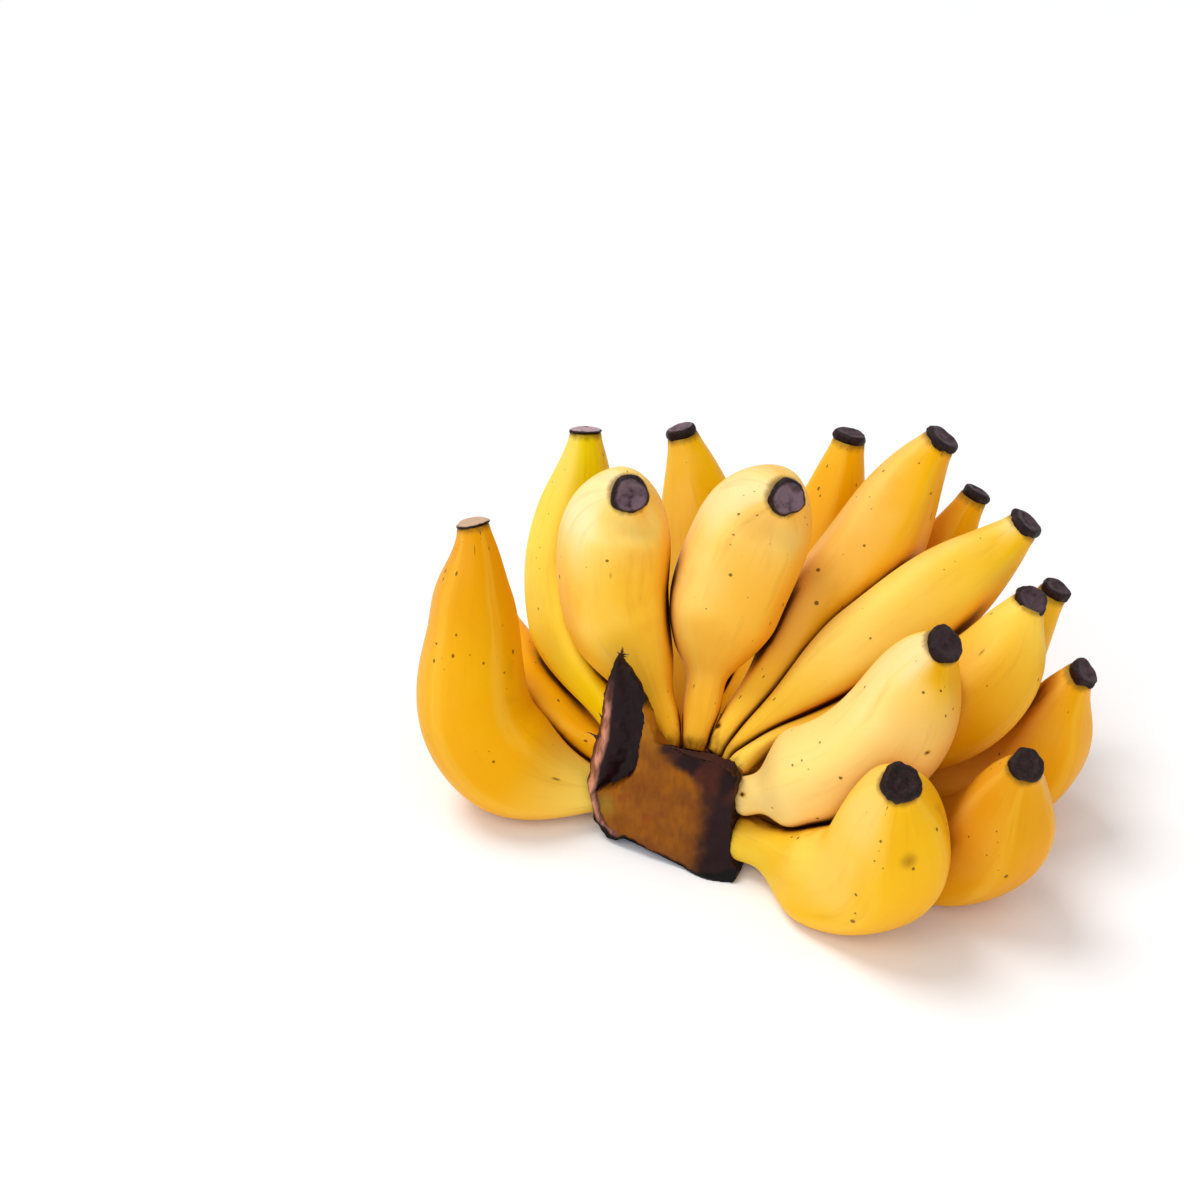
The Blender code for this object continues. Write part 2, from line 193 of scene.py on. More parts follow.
def ripple(points, wavelength, seed, waves=9):
    """A smooth random field, about -1 to 1, made of sine waves in seeded directions."""
    draw = np.random.default_rng(seed)
    heading = draw.normal(size=(waves, 3))
    heading /= np.linalg.norm(heading, axis=1)[:, None]
    heading *= 2.0 * np.pi / (wavelength * draw.uniform(0.7, 1.5, size=(waves, 1)))
    phase = draw.uniform(0.0, 2.0 * np.pi, size=waves)
    return np.sin(points @ heading.T + phase).sum(axis=1) * np.sqrt(2.0 / waves) * 0.6


def hermite(start, end, leaving, arriving):
    t = np.linspace(0.0, 1.0, CURVE_STEPS)[:, None]
    return (
        (2 * t**3 - 3 * t**2 + 1) * start
        + (t**3 - 2 * t**2 + t) * leaving
        + (3 * t**2 - 2 * t**3) * end
        + (t**3 - t**2) * arriving
    )


def centreline(fruit, count):
    """Evenly spaced points from the crown through the belly to the flower end."""
    root, belly, tip = (np.array(point, float) for point in fruit[:3])
    tip = tip - direction(*fruit.end) * FLOWER_HALF
    low, high = np.linalg.norm(belly - root), np.linalg.norm(tip - belly)
    middle = (belly - root) / low * high + (tip - belly) / high * low
    middle /= np.linalg.norm(middle)
    lower = hermite(root, belly, direction(*fruit.start) * low * PULL, middle * low * PULL)
    upper = hermite(belly, tip, middle * high * PULL, direction(*fruit.end) * high * PULL)
    fine = np.concatenate([lower, upper[1:]])
    travelled = np.concatenate([[0.0], np.cumsum(np.linalg.norm(np.diff(fine, axis=0), axis=1))])
    wanted = np.linspace(0.0, travelled[-1], count)
    line = np.stack([np.interp(wanted, travelled, fine[:, axis]) for axis in range(3)], axis=1)
    return line, travelled[-1]


def radii(name, fruit, count):
    """Stalk, shoulder, belly and neck along the centreline."""
    along = np.linspace(0.0, 1.0, count)
    fall_start = FALL_START[0] + FALL_START[1] * fruit.plump
    fall_power = FALL_POWER[0] + FALL_POWER[1] * fruit.plump
    fall = np.clip((along - fall_start) / (1.0 - fall_start), 0.0, 1.0)
    body = NECK_RADIUS + (fruit.radius - NECK_RADIUS) * (1.0 - fall**fall_power)
    part = np.clip((along - fruit.shoulder) / fruit.rise, 0.0, 1.0)
    blunt = BLUNT.get(name, 0.0)
    rise = smooth_step(part) * (1.0 - blunt) + (1.0 - (1.0 - part) ** 2) * blunt
    heel = np.clip(HEEL_LENGTH - along, 0.0, None) * HEEL_FLARE
    return fruit.stalk + (body - fruit.stalk) * rise + heel


def frames(points):
    """Two directions across the centreline at each point, carried along it without twist."""
    along = np.gradient(points, axis=0)
    along /= np.linalg.norm(along, axis=1)[:, None]
    side = np.cross(along[0], along[-1])
    side -= along[0] * (side @ along[0])
    side /= np.linalg.norm(side)
    across, upward = [], []
    for tangent in along:
        side = side - tangent * (side @ tangent)
        side /= np.linalg.norm(side)
        across.append(side)
        upward.append(np.cross(tangent, side))
    return np.array(across), np.array(upward)


def ridged(angles):
    """Distance from the centre of a rounded polygon with RIDGES corners, about 1 on average."""
    flats = np.arange(RIDGES) * 2.0 * np.pi / RIDGES + np.pi / RIDGES
    facing = np.clip(np.cos(angles[:, None] - flats), 0.0, None)
    outline = np.sum(facing**RIDGE_POWER, axis=1) ** (-1.0 / RIDGE_POWER)
    return outline / outline.mean()


def depth(points, line, line_radii):
    """How far each point is outside a round tube; negative inside."""
    away = np.linalg.norm(points[:, None] - line[None], axis=2) - line_radii
    return away.min(axis=1)


def press(name, centres, reach, fields):
    """How far along its reach each point goes before it meets a neighbour."""
    own = fields[name]
    near = []
    for other, (points, spread) in fields.items():
        apart = np.linalg.norm(points[:, None] - own[0][None], axis=2).min()
        if other != name and apart < NEAR_RADII * own[1].max():
            near.append((points, spread))
    low = np.full(len(centres), PRESS_RANGE[0])
    high = np.full(len(centres), PRESS_RANGE[1])
    for _ in range(PRESS_STEPS):
        share = (low + high) / 2.0
        points = centres + reach * share[:, None]
        room = np.min([depth(points, *field) for field in near], axis=0) - depth(points, *own)
        fits = room >= CLEARANCE
        low = np.where(fits, share, low)
        high = np.where(fits, high, share)
    return low


def allowed_share(name, line, turn, spread, fields):
    """The press, worked out on a coarser grid and read off at every point of the fine one."""
    rows = np.linspace(0, RINGS - 1, PRESS_RINGS).round().astype(int)
    columns = np.arange(PRESS_SIDES) * SIDES // PRESS_SIDES
    reach = turn[np.ix_(rows, columns)] * spread[np.ix_(rows, columns)][:, :, None]
    centres = np.repeat(line[rows], PRESS_SIDES, axis=0)
    coarse = press(name, centres, reach.reshape(-1, 3), fields).reshape(PRESS_RINGS, PRESS_SIDES)
    tall = np.stack([np.interp(np.arange(RINGS), rows, column) for column in coarse.T], axis=1)
    wrapped = np.concatenate([tall, tall[:, :1]], axis=1)
    ends = np.append(columns, SIDES)
    return np.stack([np.interp(np.arange(SIDES), ends, row) for row in wrapped])


def srgb(colour):
    """An sRGB colour as the linear one that a shader takes."""
    return tuple(c / 12.92 if c <= 0.04045 else ((c + 0.055) / 1.055) ** 2.4 for c in colour)


def relaxed(rings, rounds):
    """A tube of rings smoothed along and around, its ends held."""
    count = len(rings)
    ring = np.arange(count)
    free = smooth_step(np.minimum(ring, count - 1 - ring) / HELD_RINGS)[:, None, None] * 0.5
    for _ in range(rounds):
        beside = (np.roll(rings, 1, axis=1) + np.roll(rings, -1, axis=1)) / 2.0
        ahead = rings.copy()
        ahead[1:-1] = (rings[:-2] + rings[2:]) / 2.0
        rings = rings + ((beside + ahead) / 2.0 - rings) * free
    return rings


def facings(rings):
    """The outward direction at each point of a tube of rings."""
    around = np.roll(rings, -1, axis=1) - np.roll(rings, 1, axis=1)
    normal = np.cross(around, np.gradient(rings, axis=0))
    return normal / (np.linalg.norm(normal, axis=2, keepdims=True) + 1e-9)


def eased(line, rounds):
    """A centreline with the sudden changes of its bend spread out."""
    for _ in range(rounds):
        line[1:-1] = line[1:-1] * 0.5 + (line[:-2] + line[2:]) * 0.25
    return line


def grid_object(name, rings, attributes, close_ends=(True, True)):
    """Skins a grid of rings (rings, sides, 3) with quads and fans its ends."""
    count, sides = rings.shape[:2]
    verts = [tuple(p) for p in (rings.reshape(-1, 3) - ORIGIN) * METRES]
    faces = []
    for k in range(count - 1):
        for i in range(sides):
            j = (i + 1) % sides
            faces.append((k * sides + i, k * sides + j, (k + 1) * sides + j, (k + 1) * sides + i))
    extra = []
    for end, ring in zip(close_ends, (0, count - 1)):
        if not end:
            continue
        verts.append(tuple((rings[ring].mean(axis=0) - ORIGIN) * METRES))
        extra.append(ring)
        middle = len(verts) - 1
        for i in range(sides):
            j = (i + 1) % sides
            pair = (ring * sides + j, ring * sides + i) if ring == 0 else (ring * sides + i, ring * sides + j)
            faces.append((*pair, middle))
    mesh = bpy.data.meshes.new(name)
    mesh.from_pydata(verts, [], faces)
    mesh.update()
    for key, values in attributes.items():
        values = np.asarray(values, float)
        flat = values.reshape(count * sides, -1)
        ends = [values.reshape(count, sides, -1)[ring].mean(axis=0) for ring in extra]
        flat = np.concatenate([flat, *[end[None] for end in ends]]) if ends else flat
        kind = "FLOAT" if flat.shape[1] == 1 else "FLOAT_VECTOR"
        layer = mesh.attributes.new(key, kind, "POINT")
        layer.data.foreach_set("value" if kind == "FLOAT" else "vector", flat.astype(np.float32).ravel())
    mesh.shade_smooth()
    made = bpy.data.objects.new(name, mesh)
    bpy.context.scene.collection.objects.link(made)
    return made


class Nodes:
    """A short way to write a node tree."""

    def __init__(self, name):
        self.material = bpy.data.materials.new(name)
        self.material.use_nodes = True
        self.tree = self.material.node_tree
        self.shader = self.tree.nodes["Principled BSDF"]

    def link(self, value, socket):
        if isinstance(value, bpy.types.NodeSocket):
            self.tree.links.new(value, socket)
        else:
            socket.default_value = value

    def add(self, kind, inputs=(), **settings):
        node = self.tree.nodes.new(kind)
        for key, value in settings.items():
            setattr(node, key, value)
        for key, value in dict(inputs).items():
            self.link(value, node.inputs[key])
        return node

    def attribute(self, name, output="Fac"):
        return self.add("ShaderNodeAttribute", attribute_name=name).outputs[output]

    def maths(self, operation, a, b=0.0, clamp=False):
        return self.add("ShaderNodeMath", {0: a, 1: b}, operation=operation, use_clamp=clamp).outputs[0]

    def scaled(self, vector, factors, offset=(0.0, 0.0, 0.0)):
        node = self.add("ShaderNodeMapping", {"Vector": vector, "Scale": factors, "Location": offset})
        return node.outputs[0]

    def noise(self, vector, scale, detail=2.0, roughness=0.5, distortion=0.0):
        inputs = {
            "Vector": vector,
            "Scale": scale,
            "Detail": detail,
            "Roughness": roughness,
            "Distortion": distortion,
        }
        return self.add("ShaderNodeTexNoise", inputs).outputs["Fac"]

    def ramp(self, value, low, high, smooth=True):
        """0 below low and 1 above high."""
        inputs = {"Value": value, "From Min": low, "From Max": high}
        kind = "SMOOTHSTEP" if smooth else "LINEAR"
        return self.add("ShaderNodeMapRange", inputs, interpolation_type=kind).outputs[0]

    def mix(self, factor, a, b, blend="MIX"):
        """Colours a and b mixed."""
        node = self.add("ShaderNodeMix", data_type="RGBA", blend_type=blend)
        self.link(factor, node.inputs[0])
        self.link(a if isinstance(a, bpy.types.NodeSocket) else (*srgb(a), 1.0), node.inputs[6])
        self.link(b if isinstance(b, bpy.types.NodeSocket) else (*srgb(b), 1.0), node.inputs[7])
        return node.outputs[2]

    def bump(self, height, strength, distance, normal=None):
        inputs = {"Height": height, "Strength": strength, "Distance": distance}
        if normal:
            inputs["Normal"] = normal
        return self.add("ShaderNodeBump", inputs).outputs[0]


def peel_material(name, skin, seed):
    """Ripe banana skin: satin, mottled, with specks and faint streaks, painted highlights where it faces the
    light, and warm to dark brown painted shade in its crevices and wherever other skin hides it.
    """
    nodes = Nodes(f"peel_{name}")
    along = nodes.attribute("along")
    ridge = nodes.attribute("ridge")
    gap = nodes.attribute("gap")
    shade = nodes.attribute("shade")
    place = nodes.attribute("skin", "Vector")
    shift = (seed * 0.37, seed * 0.53, seed * 0.71)
    skin_at = nodes.scaled(place, (1.0, 1.0, 1.0), shift)
    streak_at = nodes.scaled(place, (1.0, 1.0, 0.12), shift)

    colour = nodes.mix(nodes.ramp(along, 0.08, 0.36), skin.stalk, skin.belly)
    colour = nodes.mix(nodes.ramp(along, 0.62, 0.97), colour, skin.tip)
    # Painted light: the skin is painted palest where it faces up and to the left, nearly white there towards the
    # tip (painted highlights), and a deeper orange-yellow on the other side (painted shade)
    broad = nodes.noise(skin_at, 32.0, 2.0)
    light_facing = nodes.maths("ADD", nodes.attribute("light_facing"), nodes.maths("MULTIPLY", broad, 0.8))
    painted_shade_gold = nodes.maths("MULTIPLY", nodes.ramp(light_facing, 0.75, -0.1), 0.35 + 0.5 * skin.orange)
    colour = nodes.mix(painted_shade_gold, colour, (0.97, 0.66, 0.03))
    # A pale painted highlight on the side that faces the light, away from the stalk
    cream = nodes.maths("MULTIPLY", nodes.ramp(light_facing, 0.85, 1.35), skin.cream)
    cream = nodes.maths("MULTIPLY", cream, nodes.ramp(along, 0.18, 0.42))
    colour = nodes.mix(cream, colour, (1.0, 0.88, 0.54))
    # A nearly white painted highlight where the skin faces the light most, towards the tip
    painted_top_highlight = nodes.maths("MULTIPLY", nodes.ramp(light_facing, 1.1, 1.5), skin.cream * skin.cream)
    painted_top_highlight = nodes.maths("MULTIPLY", painted_top_highlight, nodes.ramp(along, 0.55, 0.9))
    colour = nodes.mix(painted_top_highlight, colour, (1.0, 0.97, 0.88))
    warm = nodes.noise(nodes.scaled(skin_at, (1.0, 1.0, 0.6), (3.1, 1.7, 0.4)), 42.0, 3.0)
    orange = nodes.maths("MULTIPLY", nodes.ramp(warm, 0.46, 0.74), skin.orange * 0.5)
    colour = nodes.mix(orange, colour, (0.92, 0.58, 0.02))

    # Fine lengthways streaks, and paler skin on the ridges
    streak = nodes.noise(streak_at, 260.0, 3.0, 0.6)
    pale_ridge = nodes.maths("MULTIPLY", nodes.ramp(ridge, 0.55, 1.0), nodes.ramp(streak, 0.3, 0.6))
    colour = nodes.mix(nodes.maths("MULTIPLY", pale_ridge, 0.2), colour, (1.0, 0.84, 0.35))
    thin = nodes.maths("MULTIPLY", nodes.ramp(streak, 0.52, 0.8), 0.22)
    colour = nodes.mix(thin, colour, (0.80, 0.52, 0.10))

    # Painted shade: the skin is painted warm brown where other fruits come close and press on it, down to dark
    # brown where other skin hides the room around it. It is also darker brown, in patches, at the stalk's foot and
    # in a thin ring under the flower
    brown_and_shade_mottle = nodes.noise(skin_at, 190.0, 4.0, 0.6)
    painted_shade_strength = 0.45 + 0.8 * skin.orange
    # Warm brown painted shade where another fruit is within a few millimetres
    near = nodes.maths("MULTIPLY", nodes.ramp(gap, 4.5, 1.0), nodes.ramp(brown_and_shade_mottle, 0.0, 0.7))
    colour = nodes.mix(nodes.maths("MULTIPLY", near, 0.45 * painted_shade_strength), colour, (0.86, 0.47, 0.0))
    # Painted shade where other skin hides the room around a point
    painted_soft_shade = nodes.maths("MULTIPLY", nodes.ramp(shade, 0.3, 0.7), 0.5 * painted_shade_strength)
    colour = nodes.mix(painted_soft_shade, colour, (0.72, 0.37, 0.0))
    # Dark brown painted shade where other skin hides the most room, and in the narrowest crevices
    colour = nodes.mix(nodes.maths("MULTIPLY", nodes.ramp(shade, 0.55, 0.82), 0.85), colour, (0.26, 0.10, 0.01))
    colour = nodes.mix(nodes.maths("MULTIPLY", nodes.ramp(gap, 2.0, 0.7), 0.7), colour, (0.36, 0.15, 0.01))
    foot = nodes.ramp(along, 0.07, 0.02)
    foot = nodes.maths("MULTIPLY", foot, nodes.ramp(brown_and_shade_mottle, 0.4, 0.7))
    colour = nodes.mix(nodes.maths("MULTIPLY", foot, 0.45), colour, (0.55, 0.36, 0.10))
    collar = nodes.ramp(nodes.maths("ADD", along, nodes.maths("MULTIPLY", brown_and_shade_mottle, 0.02)), 0.99, 1.01)
    colour = nodes.mix(nodes.maths("MULTIPLY", collar, 0.7), colour, (0.45, 0.30, 0.10))

    # Soft brown bruises, then small dark specks and short scratches
    bruise = nodes.noise(nodes.scaled(skin_at, (1.0, 1.0, 0.7), (7.3, 2.9, 5.1)), 65.0, 3.0, 0.55, 0.4)
    bruise = nodes.maths("MULTIPLY", nodes.ramp(bruise, 0.66, 0.78), skin.bruises * 0.6)
    colour = nodes.mix(bruise, colour, (0.62, 0.42, 0.14))
    mark = nodes.maths("MULTIPLY", nodes.attribute("mark"), nodes.ramp(brown_and_shade_mottle, -0.3, 0.5))
    colour = nodes.mix(nodes.maths("MULTIPLY", nodes.ramp(mark, 0.02, 0.45), 0.75), colour, (0.70, 0.46, 0.06))
    colour = nodes.mix(nodes.maths("MULTIPLY", nodes.ramp(mark, 0.35, 0.6), 0.9), colour, (0.16, 0.07, 0.03))
    specks = nodes.add("ShaderNodeTexVoronoi", {"Vector": skin_at, "Scale": 250.0, "Randomness": 1.0})
    lot = nodes.add("ShaderNodeSeparateColor", {"Color": specks.outputs["Color"]})
    patchy = nodes.ramp(nodes.noise(skin_at, 55.0, 1.0), 0.45, 0.66)
    often = nodes.maths("MULTIPLY_ADD", patchy, 0.8 * skin.specks)
    often.node.inputs[2].default_value = 0.08
    chosen = nodes.maths("LESS_THAN", lot.outputs[0], often)
    size = nodes.maths("MULTIPLY_ADD", nodes.maths("POWER", lot.outputs[1], 3.0), 0.16)
    size.node.inputs[2].default_value = 0.08
    dot = nodes.maths("SUBTRACT", size, specks.outputs["Distance"])
    dot = nodes.maths("MULTIPLY", nodes.ramp(dot, -0.02, 0.05), chosen)
    colour = nodes.mix(nodes.maths("MULTIPLY", dot, 0.8), colour, (0.32, 0.16, 0.04))
    dash_at = nodes.scaled(place, (1.0, 1.0, 0.35), (shift[1], shift[2], shift[0]))
    dashes = nodes.add("ShaderNodeTexVoronoi", {"Vector": dash_at, "Scale": 120.0, "Randomness": 1.0})
    lot = nodes.add("ShaderNodeSeparateColor", {"Color": dashes.outputs["Color"]})
    chosen = nodes.maths("LESS_THAN", lot.outputs[0], 0.04 + 0.10 * skin.specks)
    dash = nodes.maths("MULTIPLY", nodes.ramp(dashes.outputs["Distance"], 0.11, 0.05), chosen)
    colour = nodes.mix(nodes.maths("MULTIPLY", dash, 0.7), colour, (0.42, 0.23, 0.07))

    nodes.link(colour, nodes.shader.inputs["Base Color"])
    fine = nodes.noise(skin_at, 900.0, 3.0, 0.6)
    rough = nodes.maths("MULTIPLY_ADD", fine, 0.16)
    rough.node.inputs[2].default_value = 0.36
    nodes.link(rough, nodes.shader.inputs["Roughness"])
    nodes.shader.inputs["Specular IOR Level"].default_value = 0.14
    nodes.shader.inputs["Specular Tint"].default_value = (1.0, 0.78, 0.35, 1.0)
    nodes.shader.inputs["Subsurface Weight"].default_value = 0.12
    nodes.shader.inputs["Subsurface Radius"].default_value = (0.006, 0.0035, 0.0008)
    nodes.shader.inputs["Subsurface Scale"].default_value = 0.6
    normal = nodes.bump(streak, 0.25, 0.0004)
    normal = nodes.bump(fine, 0.18, 0.0002, normal)
    dent = nodes.maths("ADD", dot, dash)
    normal = nodes.bump(dent, -0.4, 0.0003, normal)
    nodes.link(normal, nodes.shader.inputs["Normal"])
    return nodes.material


def flower_end_material(name, grey, dust_colour):
    """Dried flower base: dark purple-brown, matt, with a dusty top."""
    nodes = Nodes(f"flower_end_{name}")
    place = nodes.attribute("skin", "Vector")
    top = nodes.attribute("top")
    fibre = nodes.noise(nodes.scaled(place, (1.0, 1.0, 0.3)), 900.0, 4.0, 0.65)
    dust = nodes.noise(place, 260.0, 3.0, 0.6)
    colour = nodes.mix(nodes.ramp(fibre, 0.35, 0.75), (0.07, 0.03, 0.035), (0.20, 0.10, 0.09))
    dusty = nodes.maths("MULTIPLY", nodes.ramp(dust, 0.2, 0.65), top)
    colour = nodes.mix(nodes.maths("MULTIPLY", dusty, grey), colour, dust_colour)
    nodes.link(colour, nodes.shader.inputs["Base Color"])
    nodes.shader.inputs["Roughness"].default_value = 0.55
    nodes.shader.inputs["Specular IOR Level"].default_value = 0.2
    normal = nodes.bump(fibre, 0.6, 0.0004)
    nodes.link(nodes.bump(dust, 0.4, 0.0005, normal), nodes.shader.inputs["Normal"])
    return nodes.material


def raised(name, line):
    """A centreline with its upper part drawn up a little."""
    share = smooth_step((np.linspace(0.0, 1.0, len(line)) - 0.55) / 0.45)
    line[:, 2] += share * RAISED.get(name, 0.0)
    return line


def fruit_rings(name, fruit, fields, seed):
    """The points of one fruit's finished skin, and what its material reads from them."""
    line, length = centreline(fruit, RINGS)
    line = raised(name, eased(line, LINE_ROUNDS))
    spread = radii(name, fruit, RINGS)
    along = np.linspace(0.0, 1.0, RINGS)
    if name in FULLER:
        place, reach, wider, left = FULLER[name]
        swell = np.exp(-(((along - place) / reach) ** 2))
        spread = spread + swell * wider
        line[:, 0] -= swell * left
    across, upward = frames(line)
    angles = np.arange(SIDES) * 2.0 * np.pi / SIDES
    turn = np.cos(angles)[:, None] * across[:, None] + np.sin(angles)[:, None] * upward[:, None]

    # Ridges are sharpest on the belly and nearly gone at both ends
    edge = ridged(angles) - 1.0
    sharp = smooth_step(along / 0.2) * smooth_step((1.0 - along) / 0.14)
    outline = 1.0 + edge[None] * (0.25 + 0.85 * sharp)[:, None] * RIDGED.get(name, 0.8)
    ring_points = np.stack(
        [
            np.broadcast_to(np.cos(angles), (RINGS, SIDES)) * fruit.radius,
            np.broadcast_to(np.sin(angles), (RINGS, SIDES)) * fruit.radius,
            np.broadcast_to((along * length)[:, None], (RINGS, SIDES)),
        ],
        axis=2,
    )
    flat_points = ring_points.reshape(-1, 3)
    lumps = ripple(flat_points * (1.0, 1.0, 0.5), 26.0, seed) * 0.016
    lumps += ripple(flat_points * (1.0, 1.0, 0.4), 11.0, seed + 100) * 0.005
    outline = outline + lumps.reshape(RINGS, SIDES) * sharp[:, None]
    # A slight waist below the flower's rim
    waist = 1.0 - 0.05 * np.exp(-(((along - 0.972) / 0.014) ** 2))
    waist *= 1.0 - ROOT_TAPER * smooth_step((ROOT_SHARE - along) / ROOT_SHARE)
    waist *= 1.0 - (1.0 - FLOWER_SIZE.get(name, 0.9)) * smooth_step((along - 0.78) / 0.2)
    outline = outline * waist[:, None]
    reach = (turn * (spread[:, None] * outline)[:, :, None]).reshape(-1, 3)
    centres = np.repeat(line, SIDES, axis=0)

    allowed = allowed_share(name, line, turn, spread[:, None] * outline, fields).reshape(-1)
    share = smooth_lower(allowed, 1.0, PRESS_SOFTNESS)
    falling = reach[:, 2] < 0.0
    floor_share = centres[:, 2] / np.where(falling, -reach[:, 2], 1.0)
    share[falling] = smooth_lower(share, floor_share, 0.04)[falling]
    points = relaxed((centres + reach * share[:, None]).reshape(RINGS, SIDES, 3), SKIN_ROUNDS)
    points[:, :, 2] = np.maximum(points[:, :, 2], 0.0)

    mark = np.zeros((RINGS, SIDES))
    for place, turned, size, dark in MARKS.get(name, ()):
        middle = points[round(place * (RINGS - 1)), round(turned * SIDES / 360) % SIDES]
        away = np.linalg.norm(points - middle, axis=2)
        mark = np.maximum(mark, dark * smooth_step(1.0 - away / size))

    attributes = {
        "mark": mark,
        # How much each point faces the light that is painted onto the skin, for its painted highlight and shade
        "light_facing": facings(points) @ (np.array(PAINTED_LIGHT_FROM) / np.linalg.norm(PAINTED_LIGHT_FROM)),
        "along": np.broadcast_to(along[:, None], (RINGS, SIDES)),
        "ridge": np.broadcast_to((edge - edge.min()) / (edge.max() - edge.min()), (RINGS, SIDES)),
        "skin": ring_points * METRES,
    }
    return points, attributes


def quads(first):
    """The faces of one fruit's grid, its points numbered from first."""
    grid = np.arange(RINGS * SIDES).reshape(RINGS, SIDES) + first
    beside = np.roll(grid, -1, axis=1)
    return np.stack([grid[:-1], beside[:-1], beside[1:], grid[1:]], axis=2).reshape(-1, 4).tolist()


def gap_to_others(name, shapes, trees):
    """How far each point of a fruit is from the nearest other fruit, up to GAP_REACH."""
    points = shapes[name][0].reshape(-1, 3)
    low, high = points.min(axis=0) - GAP_REACH, points.max(axis=0) + GAP_REACH
    gaps = np.full(len(points), GAP_REACH)
    for other, tree in trees.items():
        theirs = shapes[other][0].reshape(-1, 3)
        if other == name or np.any(theirs.min(axis=0) > high) or np.any(theirs.max(axis=0) < low):
            continue
        for k, point in enumerate(points):
            found = tree.find_nearest(point, gaps[k])[3]
            if found is not None:
                gaps[k] = found
    return gaps.reshape(RINGS, SIDES)


def shade(points, everything):
    """How much of the room around each point other skin takes up, seen from a coarse grid of them."""
    rows = np.arange(0, RINGS, SHADE_STEP)
    columns = np.arange(0, SIDES, SHADE_STEP)
    normals = facings(points)[np.ix_(rows, columns)].reshape(-1, 3)
    places = points[np.ix_(rows, columns)].reshape(-1, 3)
    turn = np.arange(SHADE_RAYS) * GOLDEN_TURN
    lift = np.sqrt((np.arange(SHADE_RAYS) + 0.5) / SHADE_RAYS)
    rays = np.column_stack([np.cos(turn) * lift, np.sin(turn) * lift, np.sqrt(1.0 - lift**2)])
    hidden = np.zeros(len(places))
    for k, (place, normal) in enumerate(zip(places, normals)):
        side = np.cross(normal, (0.3, 0.5, 0.8))
        side /= np.linalg.norm(side)
        for heading in rays @ np.array([side, np.cross(normal, side), normal]):
            distance = everything.ray_cast(place + normal * SHADE_LIFT, heading, SHADE_REACH)[3]
            if distance is not None:
                hidden[k] += 1.0 - distance / SHADE_REACH
    coarse = hidden.reshape(len(rows), len(columns)) / SHADE_RAYS
    tall = np.stack([np.interp(np.arange(RINGS), rows, column) for column in coarse.T], axis=1)
    wrapped = np.concatenate([tall, tall[:, :1]], axis=1)
    ends = np.append(columns, SIDES)
    return np.stack([np.interp(np.arange(SIDES), ends, row) for row in wrapped])


def fruit_object(name, points, attributes, seed):
    made = grid_object(f"skin_{name}", points, attributes)
    made.data.materials.append(peel_material(name, SKINS[name], seed))
    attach(made, "root")
    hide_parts(f"banana_{name}")


# How wide the flower ends are, against the widest ones
FLOWER_SIZE = {
    "inner_1": 0.84, "inner_2": 0.97, "inner_3": 0.94, "inner_4": 0.95, "inner_5": 0.92, "inner_7": 0.96,
    "inner_8": 0.97, "outer_1": 0.84, "outer_3": 0.86, "outer_5": 0.78, "outer_6": 0.8, "outer_7": 0.8,
    "outer_8": 0.84,
}
# The dried flower base: height over the fruit's end and radius, up its side, over its rim and
# into the dimple in its top
BUTTON_OUTLINE = [
    (-0.6, 5.6), (0.1, 6.2), (0.7, 6.55), (1.3, 6.6), (2.0, 6.45), (2.6, 6.1), (3.0, 5.5),
    (3.15, 4.8), (3.05, 4.0), (2.7, 3.2), (2.5, 2.3), (2.6, 1.4), (2.8, 0.7),
]
BUTTON_SIDES = 64
BUTTON_STEPS = 4
# Flower ends that are seen nearly from the side in the photo are thinner discs
BUTTON_HEIGHT = {"outer_1": 0.45, "inner_1": 0.4}
BUTTON_GREY = {
    "inner_2": 1.0, "inner_3": 1.3, "outer_1": 2.5, "inner_1": 2.5, "outer_3": 1.2, "inner_8": 0.0,
    "outer_8": 0.05, "inner_7": 0.15,
}
DUST = (0.45, 0.36, 0.40)
PALE_DUST = {"outer_1": (0.80, 0.66, 0.54), "inner_1": (0.72, 0.60, 0.62)}
# How far out on its top the dust goes, as a radius on the widest flower end
DUST_EDGE = {"outer_1": 6.6, "inner_1": 6.4}


